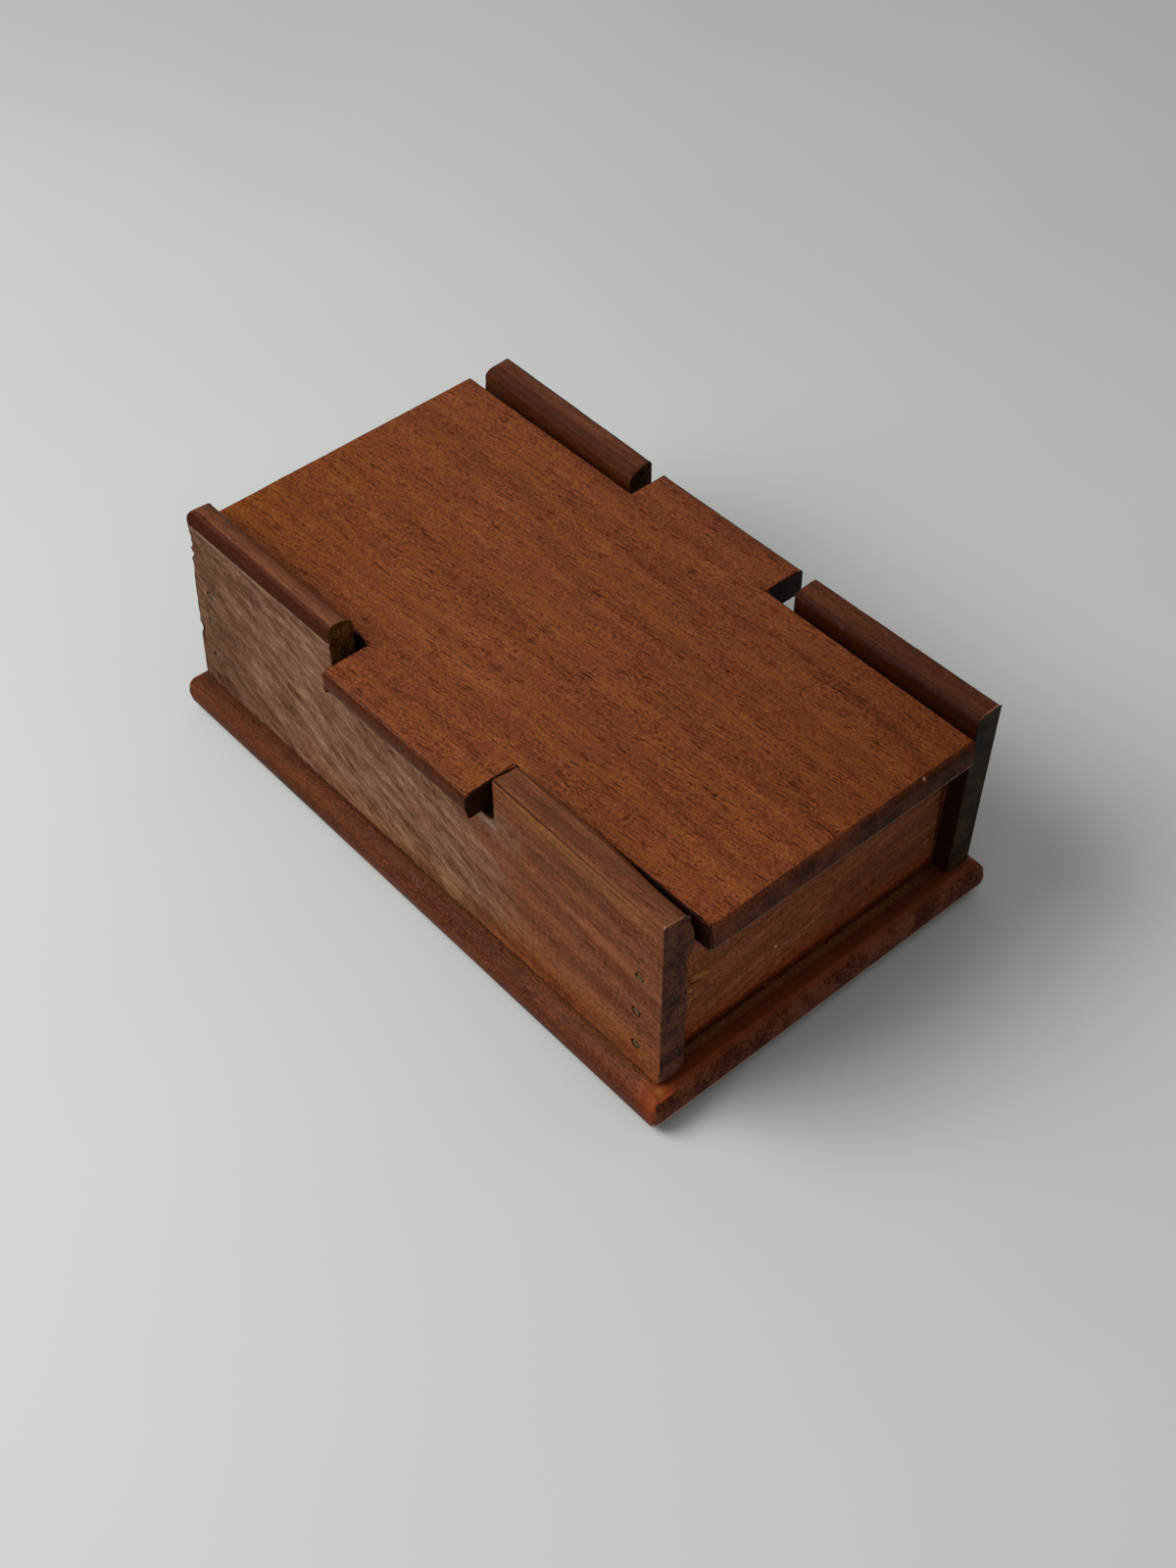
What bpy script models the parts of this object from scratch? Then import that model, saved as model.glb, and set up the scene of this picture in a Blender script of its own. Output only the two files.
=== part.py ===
"""Small wooden box for papers and keepsakes, with a cross-shaped lid that lifts off.

Two long side boards and two recessed end boards stand on a base board with rounded edges.
Each side board has a wide notch in its top edge. A tab on each long side of the lid drops
into a notch, and what is left of the board on both sides of the notch stands up as an ear.
Small nails through the side boards hold the end boards, and nails from below hold the sides.

X runs along the box towards its front end, Y across it towards its right side, Z up.
The origin is the centre of the base board's underside. All lengths are in metres.
"""

import math

import bmesh
import bpy
from mathutils import Matrix, Vector

# Air between two pieces that touch on the real box
JOINT_GAP = 0.0003

# Box body, measured over the outside faces of the two side boards
BODY_WIDTH = 0.1164
BODY_OFFSET = 0.0007

# Base board
BASE_THICKNESS = 0.0128
BASE_END_LIP = 0.0046
BASE_SIDE_LIP = 0.0046
BASE_EDGE_RADIUS = 0.0056
BASE_CORNER_RADIUS = 0.0022

# Side boards
SIDE_LENGTH = 0.2
SIDE_THICKNESS = 0.009
NOTCH_LENGTH = 0.067
NOTCH_OFFSET = 0.003
LEFT_NOTCH_DROP = 0.0005
RIGHT_NOTCH_DROP = 0.006
BACK_END_LEAN = 0.0042
RIGHT_NOTCH_FRONT_SHIFT = -0.0014
RIGHT_FRONT_LEAN = 0.0027
SIDE_EDGE_RADIUS = 0.0004

# Ears: their rise over the lid's top at the board's end, and the lift towards the notch
LEFT_BACK_EAR_OUTER_RISE = 0.0089
LEFT_BACK_EAR_INNER_RISE = 0.0084
LEFT_BACK_EAR_LIFT = 0.0003
LEFT_FRONT_EAR_OUTER_RISE = 0.0057
LEFT_FRONT_EAR_INNER_RISE = 0.0044
RIGHT_BACK_EAR_OUTER_RISE = 0.0048
RIGHT_BACK_EAR_INNER_RISE = 0.0044
RIGHT_BACK_EAR_LIFT = -0.0012
RIGHT_FRONT_EAR_OUTER_RISE = 0.0011
RIGHT_FRONT_EAR_INNER_RISE = 0.0005
RIGHT_FRONT_EAR_LIFT = 0.0019

# Rounded edges of the ears: along the outer and the inner face, at the board's end and notch
LEFT_BACK_EAR_RADII = (0.0034, 0.0048)
LEFT_FRONT_EAR_RADII = (0.0015, 0.003)
RIGHT_BACK_EAR_RADII = (0.0028, 0.0052)
RIGHT_FRONT_EAR_RADII = (0.0023, 0.002)
BACK_EAR_END_RADIUS = 0.003
EAR_NOTCH_RADIUS = 0.0012

# End boards, which stand between the side boards
END_BOARD_HEIGHT = 0.048
END_BOARD_THICKNESS = 0.008
END_BOARD_RECESS = 0.0055
END_BOARD_EDGE_RADIUS = 0.0005

# Lid, cut from one board
LID_THICKNESS = 0.0095
LID_FRONT_OVERHANG = 0.0046
LID_BACK_RECESS = 0.001
LID_RIGHT_CLEARANCE = 0.0029
LID_LEFT_BACK_CLEARANCE = 0.0012
LID_LEFT_SHOULDER_CLEARANCE = 0.0019
LID_LEFT_FRONT_CLEARANCE = 0.0028
LID_FRONT_RADIUS = 0.0024
LID_BACK_RADIUS = 0.0015
LID_UNDER_RADIUS = 0.0016
LID_EDGE_RADIUS = 0.0008
LID_CORNER_RADIUS = 0.0008
LID_BACK_SKEW = 0.001
LEFT_TAB_OVERHANG = 0.0053
LEFT_TAB_TOP_RADIUS = 0.0018
LEFT_TAB_UNDER_RADIUS = 0.0052
LEFT_TAB_FRONT_CLEARANCE = 0.0036
RIGHT_TAB_OVERHANG = 0.0019
RIGHT_TAB_SKEW = 0.0005
RIGHT_TAB_TOP_RADIUS = 0.003
RIGHT_TAB_UNDER_RADIUS = 0.0058
RIGHT_TAB_FRONT_CLEARANCE = 0.0082
TAB_BACK_CLEARANCE = 0.0035

# Nails, alike all over the box apart from their length
NAIL_HEAD_RADIUS = 0.0011
NAIL_HEAD_THICKNESS = 0.0007
NAIL_SHANK_RADIUS = 0.0006
NAIL_TIP_LENGTH = 0.002
NAIL_SET_DEPTH = 0.0004
SIDE_NAIL_LENGTH = 0.024
BASE_NAIL_LENGTH = 0.028

# Nail places, as shares of the end boards' height and of the side boards' length
FRONT_NAIL_HEIGHT_SHARES = (0.77, 0.47, 0.19)
BACK_NAIL_HEIGHT_SHARES = (0.78, 0.55, 0.27)
BASE_NAIL_PLACE_SHARES = (-0.38, 0.02, 0.38)

# How far each side nail stands outside the middle of the end board's thickness
FRONT_NAIL_OFFSETS = (0.0013, 0.0003, 0.0003)
BACK_NAIL_OFFSETS = (0, 0.0014, 0.0014)

# How far a cutter runs past the face that it cuts
CUT_OVERRUN = 0.001

# Counts
ROUND_SEGMENTS = 4
CORNER_SEGMENTS = 3
NAIL_SIDES = 10
FULL_TURN = 2 * math.pi
QUARTER_TURN = FULL_TURN / 4
SHARP_ANGLE = math.radians(40)

# Levels and faces that several pieces share
BASE_TOP = BASE_THICKNESS
BOARD_FOOT = BASE_TOP + JOINT_GAP
END_BOARD_TOP = BOARD_FOOT + END_BOARD_HEIGHT
LID_UNDERSIDE = END_BOARD_TOP + JOINT_GAP
LID_TOP = LID_UNDERSIDE + LID_THICKNESS
SIDE_OUTER_REACH = BODY_WIDTH / 2
SIDE_INNER_REACH = SIDE_OUTER_REACH - SIDE_THICKNESS
SIDE_HALF_LENGTH = SIDE_LENGTH / 2
NOTCH_BACK = NOTCH_OFFSET - NOTCH_LENGTH / 2
NOTCH_FRONT = NOTCH_OFFSET + NOTCH_LENGTH / 2
END_BOARD_OUTER_REACH = SIDE_HALF_LENGTH - END_BOARD_RECESS
END_BOARD_MIDDLE = END_BOARD_OUTER_REACH - END_BOARD_THICKNESS / 2
LID_LENGTH = SIDE_LENGTH + LID_FRONT_OVERHANG - LID_BACK_RECESS
LID_OFFSET = (LID_FRONT_OVERHANG + LID_BACK_RECESS) / 2

# Colours, as linear red, green and blue, with roughness and metallic
FINISHES = {
    "dark_base_wood": ((0.115, 0.048, 0.026), 0.45, 0.0),
    "grey_brown_side_wood": ((0.21, 0.125, 0.09), 0.6, 0.0),
    "brown_end_wood": ((0.14, 0.062, 0.034), 0.5, 0.0),
    "red_brown_lid_wood": ((0.25, 0.088, 0.036), 0.42, 0.0),
    "dark_nail_steel": ((0.12, 0.11, 0.1), 0.5, 0.9),
}


def clear_scene():
    """Remove every object that the file already holds."""
    for thing in list(bpy.data.objects):
        bpy.data.objects.remove(thing, do_unlink=True)


def finish(name):
    """Return the material of that name, made the first time that it is asked for."""
    material = bpy.data.materials.get(name)
    if material is None:
        colour, roughness, metallic = FINISHES[name]
        material = bpy.data.materials.new(name)
        material.use_nodes = True
        shader = material.node_tree.nodes["Principled BSDF"]
        shader.inputs["Base Color"].default_value = (*colour, 1.0)
        shader.inputs["Roughness"].default_value = roughness
        shader.inputs["Metallic"].default_value = metallic
    return material


def add_object(name, mesh_data, place, finish_name=None):
    """Link a new object at a place; without a finish it is a hidden cutter."""
    mesh = bpy.data.meshes.new(name)
    mesh_data.normal_update()
    mesh_data.to_mesh(mesh)
    mesh_data.free()
    thing = bpy.data.objects.new(name, mesh)
    thing.location = place
    bpy.context.scene.collection.objects.link(thing)
    if finish_name:
        mesh.materials.append(finish(finish_name))
    else:
        thing.hide_render = True
        thing.display_type = "WIRE"
    return thing


def between_outlines(near, far):
    """Close the solid between two outlines of as many points, near and far in order."""
    solid = bmesh.new()
    near_corners = [solid.verts.new(point) for point in near]
    far_corners = [solid.verts.new(point) for point in far]
    solid.faces.new(near_corners)
    solid.faces.new(list(reversed(far_corners)))
    for number, corner in enumerate(near_corners):
        following = (number + 1) % len(near_corners)
        solid.faces.new(
            (corner, far_corners[number], far_corners[following], near_corners[following])
        )
    bmesh.ops.recalc_face_normals(solid, faces=solid.faces)
    return solid


def block(size):
    """Return a closed block with its centre at the origin."""
    solid = bmesh.new()
    bmesh.ops.create_cube(solid, size=1.0)
    bmesh.ops.scale(solid, vec=size, verts=solid.verts)
    return solid


def round_edges(thing, radius_of):
    """Round each edge by the radius that radius_of gives for its two ends."""
    mesh = thing.data
    ends = [[mesh.vertices[index].co for index in edge.vertices] for edge in mesh.edges]
    radii = [radius_of(first, second) for first, second in ends]
    largest = max(radii)
    weights = mesh.attributes.new("bevel_weight_edge", "FLOAT", "EDGE")
    for number, radius in enumerate(radii):
        weights.data[number].value = radius / largest
    modifier = thing.modifiers.new("rounded_edges", "BEVEL")
    modifier.limit_method = "WEIGHT"
    modifier.width = largest
    modifier.segments = ROUND_SEGMENTS
    modifier.use_clamp_overlap = False


def cut(thing, cutter):
    """Cut one object with another by an exact Boolean."""
    modifier = thing.modifiers.new(cutter.name, "BOOLEAN")
    modifier.operation = "DIFFERENCE"
    modifier.solver = "EXACT"
    modifier.object = cutter


def rounded_rectangle(half_length, half_width, corner_radius, level):
    """Return the points of a rectangle with round corners, anticlockwise from above."""
    points = []
    for quarter in range(4):
        first_angle = quarter * QUARTER_TURN
        along = 1 if quarter in (0, 3) else -1
        across = 1 if quarter in (0, 1) else -1
        centre_x = along * (half_length - corner_radius)
        centre_y = across * (half_width - corner_radius)
        for step in range(CORNER_SEGMENTS + 1):
            angle = first_angle + QUARTER_TURN * step / CORNER_SEGMENTS
            points.append(
                Vector(
                    (
                        centre_x + corner_radius * math.cos(angle),
                        centre_y + corner_radius * math.sin(angle),
                        level,
                    )
                )
            )
    return points


def make_base_board():
    """Make the base board, whose edge is rounded above and below all the way round."""
    half_length = SIDE_HALF_LENGTH + BASE_END_LIP
    half_width = BODY_WIDTH / 2 + BASE_SIDE_LIP
    solid = bmesh.new()
    rings = []
    lower_centre = BASE_EDGE_RADIUS
    upper_centre = BASE_THICKNESS - BASE_EDGE_RADIUS
    for centre, first_angle in ((lower_centre, -QUARTER_TURN), (upper_centre, 0)):
        for step in range(ROUND_SEGMENTS + 1):
            angle = first_angle + QUARTER_TURN * step / ROUND_SEGMENTS
            inset = BASE_EDGE_RADIUS * (1 - math.cos(angle))
            level = centre + BASE_EDGE_RADIUS * math.sin(angle)
            corner_radius = max(BASE_CORNER_RADIUS - inset, BASE_CORNER_RADIUS / 4)
            outline = rounded_rectangle(
                half_length - inset, half_width - inset, corner_radius, level
            )
            rings.append([solid.verts.new(point) for point in outline])
    for lower, upper in zip(rings, rings[1:]):
        for number, corner in enumerate(lower):
            following = (number + 1) % len(lower)
            solid.faces.new((corner, lower[following], upper[following], upper[number]))
    solid.faces.new(list(reversed(rings[0])))
    solid.faces.new(rings[-1])
    bmesh.ops.recalc_face_normals(solid, faces=solid.faces)
    base = add_object("base_board", solid, (0, 0, 0), "dark_base_wood")
    base.data.shade_smooth()
    base.data.set_sharp_from_angle(angle=SHARP_ANGLE)
    return base


def side_outline(face, front_lean, floor_level, notch_front, back_tops, front_tops):
    """Return the notched outline of a side board's face, each top as its end and notch level."""
    foot = BOARD_FOOT
    back_end_top, back_notch_top = back_tops
    front_end_top, front_notch_top = front_tops
    corners = (
        (-SIDE_HALF_LENGTH, face, foot),
        (SIDE_HALF_LENGTH, face, foot),
        (SIDE_HALF_LENGTH, face + front_lean, front_end_top),
        (notch_front, face, front_notch_top),
        (notch_front, face, floor_level),
        (NOTCH_BACK, face, floor_level),
        (NOTCH_BACK, face, back_notch_top),
        (-SIDE_HALF_LENGTH + BACK_END_LEAN, face, back_end_top),
    )
    return [Vector(corner) for corner in corners]


def make_side_board(name, side, floor_level, notch_front, front_lean, back_ear, front_ear):
    """Make one side board; side is -1 on the left and 1 on the right.

    Each ear is given as its outer and inner rise over the lid, its lift at the notch and the
    radii of its outer and inner edge.
    """

    def outline(face, which):
        tops = []
        for rises, lift, _ in (back_ear, front_ear):
            end_top = LID_TOP + rises[which]
            tops.append((end_top, end_top + lift))
        return side_outline(side * face, side * front_lean, floor_level, notch_front, *tops)

    solid = between_outlines(outline(SIDE_OUTER_REACH, 0), outline(SIDE_INNER_REACH, 1))
    board = add_object(name, solid, (0, BODY_OFFSET, 0), "grey_brown_side_wood")

    def radius_of(first, second):
        middle = (first + second) / 2
        run = second - first
        is_ear = middle.z > LID_UNDERSIDE
        if abs(run.x) > max(abs(run.y), abs(run.z)):
            if is_ear:
                radii = back_ear[-1] if middle.x < 0 else front_ear[-1]
                is_outer = abs(middle.y) > (SIDE_OUTER_REACH + SIDE_INNER_REACH) / 2
                return radii[0] if is_outer else radii[-1]
            return SIDE_EDGE_RADIUS if middle.z > BOARD_FOOT + SIDE_THICKNESS else 0
        at_notch = NOTCH_BACK - SIDE_THICKNESS < middle.x < NOTCH_FRONT + SIDE_THICKNESS
        if at_notch:
            return EAR_NOTCH_RADIUS if is_ear else 0
        if abs(run.y) > abs(run.z):
            if is_ear and middle.x < 0:
                return BACK_EAR_END_RADIUS
            return SIDE_EDGE_RADIUS if is_ear else 0
        return SIDE_EDGE_RADIUS

    round_edges(board, radius_of)
    return board


def make_end_board(name, end):
    """Make one end board; end is 1 at the front and -1 at the back."""
    length = 2 * (SIDE_INNER_REACH - JOINT_GAP)
    solid = block((END_BOARD_THICKNESS, length, END_BOARD_HEIGHT))
    middle_level = BOARD_FOOT + END_BOARD_HEIGHT / 2
    place = (end * END_BOARD_MIDDLE, BODY_OFFSET, middle_level)
    board = add_object(name, solid, place, "brown_end_wood")
    round_edges(board, lambda first, second: END_BOARD_EDGE_RADIUS)
    return board


def tab_outline_ends():
    """Return where the left and the right tab start and end along the box."""
    back = NOTCH_BACK + TAB_BACK_CLEARANCE
    left_front = NOTCH_FRONT - LEFT_TAB_FRONT_CLEARANCE
    right_front = NOTCH_FRONT - RIGHT_TAB_FRONT_CLEARANCE
    return back, left_front, right_front


def make_lid():
    """Make the cross-shaped lid, whose origin is at the middle of its underside."""
    back = LID_OFFSET - LID_LENGTH / 2
    front = LID_OFFSET + LID_LENGTH / 2
    tab_back, left_front, right_front = tab_outline_ends()
    right = SIDE_INNER_REACH - LID_RIGHT_CLEARANCE
    left_back = SIDE_INNER_REACH - LID_LEFT_BACK_CLEARANCE
    left_shoulder = SIDE_INNER_REACH - LID_LEFT_SHOULDER_CLEARANCE
    left_end = SIDE_INNER_REACH - LID_LEFT_FRONT_CLEARANCE
    left_reach = SIDE_OUTER_REACH + LEFT_TAB_OVERHANG
    right_reach = SIDE_OUTER_REACH + RIGHT_TAB_OVERHANG
    plan = (
        (back, -left_back),
        (tab_back, -left_back),
        (tab_back, -left_reach),
        (left_front, -left_reach),
        (left_front, -left_shoulder),
        (front, -left_end),
        (front, right),
        (right_front, right),
        (right_front, right_reach + RIGHT_TAB_SKEW),
        (tab_back, right_reach),
        (tab_back, right),
        (back - LID_BACK_SKEW, right),
    )
    low = [Vector((x - LID_OFFSET, y, 0)) for x, y in plan]
    high = [Vector((x - LID_OFFSET, y, LID_THICKNESS)) for x, y in plan]
    place = (LID_OFFSET, BODY_OFFSET, LID_UNDERSIDE)
    lid = add_object("lid", between_outlines(low, high), place, "red_brown_lid_wood")
    half_length = LID_LENGTH / 2

    def radius_of(first, second):
        middle = (first + second) / 2
        on_top = middle.z > LID_THICKNESS / 2
        if abs(middle.z - LID_THICKNESS / 2) < LID_EDGE_RADIUS:
            at_end = abs(middle.x) > half_length - LID_FRONT_RADIUS
            at_tab_corner = abs(middle.y) > SIDE_INNER_REACH
            return LID_CORNER_RADIUS if at_end or at_tab_corner else 0
        if abs(middle.x) > half_length - LID_FRONT_RADIUS:
            top_radius = LID_FRONT_RADIUS if middle.x > 0 else LID_BACK_RADIUS
            return top_radius if on_top else LID_UNDER_RADIUS
        if middle.y < -SIDE_OUTER_REACH:
            return LEFT_TAB_TOP_RADIUS if on_top else LEFT_TAB_UNDER_RADIUS
        if middle.y > SIDE_OUTER_REACH:
            return RIGHT_TAB_TOP_RADIUS if on_top else RIGHT_TAB_UNDER_RADIUS
        return LID_EDGE_RADIUS

    round_edges(lid, radius_of)
    return lid


def turned_profile(profile, place_matrices):
    """Turn a profile of radius and depth into closed solids, one at each matrix."""
    solid = bmesh.new()
    for matrix in place_matrices:
        rings = []
        for radius, depth in profile[1:-1]:
            ring = []
            for number in range(NAIL_SIDES):
                angle = FULL_TURN * number / NAIL_SIDES
                point = Vector((radius * math.cos(angle), radius * math.sin(angle), depth))
                ring.append(solid.verts.new(matrix @ point))
            rings.append(ring)
        first_tip = solid.verts.new(matrix @ Vector((0, 0, profile[0][1])))
        last_tip = solid.verts.new(matrix @ Vector((0, 0, profile[-1][1])))
        for number in range(NAIL_SIDES):
            following = (number + 1) % NAIL_SIDES
            solid.faces.new((first_tip, rings[0][number], rings[0][following]))
            solid.faces.new((last_tip, rings[-1][following], rings[-1][number]))
            for near, far in zip(rings, rings[1:]):
                solid.faces.new((near[number], far[number], far[following], near[following]))
    bmesh.ops.recalc_face_normals(solid, faces=solid.faces)
    return solid


def nail_profile(length):
    """Return a nail's profile, from the top of its head to its tip."""
    head_foot = NAIL_SET_DEPTH + NAIL_HEAD_THICKNESS
    tip = NAIL_SET_DEPTH + length
    return (
        (0, NAIL_SET_DEPTH),
        (NAIL_HEAD_RADIUS, NAIL_SET_DEPTH),
        (NAIL_HEAD_RADIUS, head_foot),
        (NAIL_SHANK_RADIUS, head_foot),
        (NAIL_SHANK_RADIUS, tip - NAIL_TIP_LENGTH),
        (0, tip),
    )


def nail_hole_profile(length):
    """Return the profile of the hole that a nail leaves, open at the face."""
    head_radius = NAIL_HEAD_RADIUS + JOINT_GAP
    shank_radius = NAIL_SHANK_RADIUS + JOINT_GAP
    head_foot = NAIL_SET_DEPTH + NAIL_HEAD_THICKNESS + JOINT_GAP
    tip = NAIL_SET_DEPTH + length + JOINT_GAP
    return (
        (0, -CUT_OVERRUN),
        (head_radius, -CUT_OVERRUN),
        (head_radius, head_foot),
        (shank_radius, head_foot),
        (shank_radius, tip),
        (0, tip),
    )


def add_nail_row(row_name, matrices, length, boards):
    """Add a row of nails that share one mesh, and drill the boards that they go through."""
    upright = [Matrix.Identity(4)]
    mesh = None
    for number, matrix in enumerate(matrices, start=1):
        name = f"{row_name}_nail_{number}"
        if mesh is None:
            nail_solid = turned_profile(nail_profile(length), upright)
            nail = add_object(name, nail_solid, (0, 0, 0), "dark_nail_steel")
            mesh = nail.data
        else:
            nail = bpy.data.objects.new(name, mesh)
            bpy.context.scene.collection.objects.link(nail)
        nail.matrix_world = matrix
    drill_solid = turned_profile(nail_hole_profile(length), matrices)
    drill = add_object(f"{row_name}_drill", drill_solid, (0, 0, 0))
    for board in boards:
        cut(board, drill)


def add_side_nails(side_name, side, side_board, end_boards, front_lean):
    """Nail one side board to both end boards, through the middle of their thickness."""
    face = BODY_OFFSET + side * SIDE_OUTER_REACH
    inwards = Matrix.Rotation(side * QUARTER_TURN, 4, "X")
    nail_reach_share = (END_BOARD_MIDDLE - NOTCH_FRONT) / (SIDE_HALF_LENGTH - NOTCH_FRONT)
    front_lean_at_nails = front_lean * nail_reach_share
    rows = (
        ("front", 1, FRONT_NAIL_HEIGHT_SHARES, FRONT_NAIL_OFFSETS, front_lean_at_nails),
        ("back", -1, BACK_NAIL_HEIGHT_SHARES, BACK_NAIL_OFFSETS, 0),
    )
    for end_name, end, shares, offsets, lean in rows:
        matrices = []
        for share, offset in zip(shares, offsets):
            along = end * (END_BOARD_MIDDLE + offset)
            rise = share * END_BOARD_HEIGHT
            outwards = side * lean * rise / (LID_TOP - BOARD_FOOT)
            place = Matrix.Translation((along, face + outwards, BOARD_FOOT + rise))
            matrices.append(place @ inwards)
        add_nail_row(
            f"{end_name}_{side_name}",
            matrices,
            SIDE_NAIL_LENGTH,
            (side_board, end_boards[end_name]),
        )


def add_base_nails(side_name, side, side_board, base_board):
    """Nail the base board to one side board from below."""
    across = BODY_OFFSET + side * (SIDE_OUTER_REACH + SIDE_INNER_REACH) / 2
    matrices = []
    for share in BASE_NAIL_PLACE_SHARES:
        matrices.append(Matrix.Translation((share * SIDE_LENGTH, across, 0)))
    add_nail_row(
        f"base_{side_name}", matrices, BASE_NAIL_LENGTH, (base_board, side_board)
    )


def main():
    clear_scene()
    base_board = make_base_board()
    left_side = make_side_board(
        "left_side",
        -1,
        LID_UNDERSIDE - LEFT_NOTCH_DROP,
        NOTCH_FRONT,
        0,
        (
            (LEFT_BACK_EAR_OUTER_RISE, LEFT_BACK_EAR_INNER_RISE),
            LEFT_BACK_EAR_LIFT,
            LEFT_BACK_EAR_RADII,
        ),
        ((LEFT_FRONT_EAR_OUTER_RISE, LEFT_FRONT_EAR_INNER_RISE), 0, LEFT_FRONT_EAR_RADII),
    )
    right_side = make_side_board(
        "right_side",
        1,
        LID_UNDERSIDE - RIGHT_NOTCH_DROP,
        NOTCH_FRONT + RIGHT_NOTCH_FRONT_SHIFT,
        RIGHT_FRONT_LEAN,
        (
            (RIGHT_BACK_EAR_OUTER_RISE, RIGHT_BACK_EAR_INNER_RISE),
            RIGHT_BACK_EAR_LIFT,
            RIGHT_BACK_EAR_RADII,
        ),
        (
            (RIGHT_FRONT_EAR_OUTER_RISE, RIGHT_FRONT_EAR_INNER_RISE),
            RIGHT_FRONT_EAR_LIFT,
            RIGHT_FRONT_EAR_RADII,
        ),
    )
    end_boards = {
        "front": make_end_board("front_end", 1),
        "back": make_end_board("back_end", -1),
    }
    make_lid()
    sides = (("left", -1, left_side, 0), ("right", 1, right_side, RIGHT_FRONT_LEAN))
    for side_name, side, side_board, front_lean in sides:
        add_side_nails(side_name, side, side_board, end_boards, front_lean)
        add_base_nails(side_name, side, side_board, base_board)


if __name__ == "__main__":
    main()
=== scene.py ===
"""Looks of a small nailed mahogany box with a cross-shaped lid that lifts off.

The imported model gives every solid. This add-on gives each board a worn copy of its solid and
a finish of its own, drives the nails, and sets the box on a pale floor under soft light.
Lengths are in metres, and patterns in the materials are worked out in millimetres.
"""

import math

import bmesh
import bpy
from bpy.props import FloatProperty, FloatVectorProperty, IntProperty, PointerProperty
from bpy.types import Operator, Panel, PropertyGroup
from mathutils import Matrix, Vector, noise


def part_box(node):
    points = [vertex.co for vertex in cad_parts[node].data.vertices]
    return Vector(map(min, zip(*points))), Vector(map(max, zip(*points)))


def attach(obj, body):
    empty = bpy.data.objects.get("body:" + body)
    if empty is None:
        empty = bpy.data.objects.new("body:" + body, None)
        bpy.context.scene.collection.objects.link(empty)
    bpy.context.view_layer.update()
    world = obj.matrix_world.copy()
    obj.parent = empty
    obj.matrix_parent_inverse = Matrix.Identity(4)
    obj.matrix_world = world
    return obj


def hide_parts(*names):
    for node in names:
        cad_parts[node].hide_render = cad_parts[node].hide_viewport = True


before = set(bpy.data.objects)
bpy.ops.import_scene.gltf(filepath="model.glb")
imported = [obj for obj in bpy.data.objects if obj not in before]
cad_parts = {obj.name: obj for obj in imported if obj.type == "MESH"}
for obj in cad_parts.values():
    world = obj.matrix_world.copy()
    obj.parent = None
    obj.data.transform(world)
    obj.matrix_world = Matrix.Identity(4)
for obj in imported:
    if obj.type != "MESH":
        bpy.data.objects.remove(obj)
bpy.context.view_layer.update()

bl_info = {
    "name": "Nailed Mahogany Box",
    "version": (1, 0, 0),
    "blender": (4, 5, 0),
    "location": "3D View > Sidebar > Box",
    "description": "Dresses a small nailed mahogany box with a lift-off lid",
    "category": "Object",
}

# The photograph's frame, in pixels, and Blender's usual sensor width in millimetres
PHOTO_HEIGHT = 1600
SENSOR_WIDTH = 36.0

MM = 0.001
PER_MM = 1000.0
MERGE_DISTANCE = 0.000001
FLAT_ANGLE = math.radians(0.6)
SHARP_ANGLE = math.radians(42)

# Levels and faces of the boards that the finishes are placed by, in millimetres
LID_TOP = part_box("lid")[1].z * PER_MM
LID_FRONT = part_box("lid")[1].x * PER_MM
LID_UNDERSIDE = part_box("lid")[0].z * PER_MM
BASE_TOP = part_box("base_board")[1].z * PER_MM
END_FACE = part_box("front_end")[1].x * PER_MM
LEFT_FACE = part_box("left_side")[0].y * PER_MM
LEFT_INNER_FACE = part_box("left_side")[1].y * PER_MM
SIDE_THICKNESS = LEFT_INNER_FACE - LEFT_FACE
SIDE_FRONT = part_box("left_side")[1].x * PER_MM
SIDE_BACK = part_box("left_side")[0].x * PER_MM
BODY_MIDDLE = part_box("front_end")[0].y * PER_MM / 2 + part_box("front_end")[1].y * PER_MM / 2

# Where the notch in each side board starts and ends, in millimetres
NOTCH_BACK = -30.5
NOTCH_FRONT = {"left_side": 36.5, "right_side": 35.1}

# The foot of the smooth band round each ear's outer edge: its rise over the lid at the board's
# end and at the notch, for the back and the front ear, in millimetres
EAR_BANDS = {"left_side": ((3.4, 3.7), (4.4, 5.3)), "right_side": ((2.6, 1.4), (-0.6, 1.4))}

# Grid lines that give a side board's mesh points to wear: a spacing up to each level, in mm
SIDE_ROWS = ((60.0, 1.5), (68.0, 1.0), (200.0, 0.45))

# The left board's front ear swells under the gap at its front, and is full behind that gap. Each
# pair says where that starts and where it is complete, in millimetres along the box or up
FRONT_STRETCH = (60, 100)
SWOLLEN_LEVELS = ((58, 63), (73, 67))
FULL_STRETCH = ((36, 38), (92, 66))
FULL_LEVEL = (64, 69)

# Sizes of the noise that wears the boards, in millimetres: rubbed stretches of an arris, nicks
# in it, dips in a face, and large and small broken places on a back edge
RUBBED = 9
NICKS = 1.7
DIPS = 23
BREAKS = 11
CRUMBS = 3.1

# How much of a normal one axis takes where a face counts as square to that axis
SQUARE = 0.99

# How much closer than elsewhere the slices across and up the side boards are
SIDE_CLOSENESS = 0.6

# How deep the wood's pores and fibres look under the lamps, in metres
RELIEF = 0.12 * MM

# Width of the bevel round a nail's head, and radius of a nail's blunt tip, in metres
NAIL_RIM = 0.12 * MM

# The large soft lamp's place, the place that it looks at and its width, in metres
LAMP_PLACE = (-0.3, -0.55, 0.75)
LAMP_AIM = (0, 0, 0.03)
LAMP_WIDTH = 0.6

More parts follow.
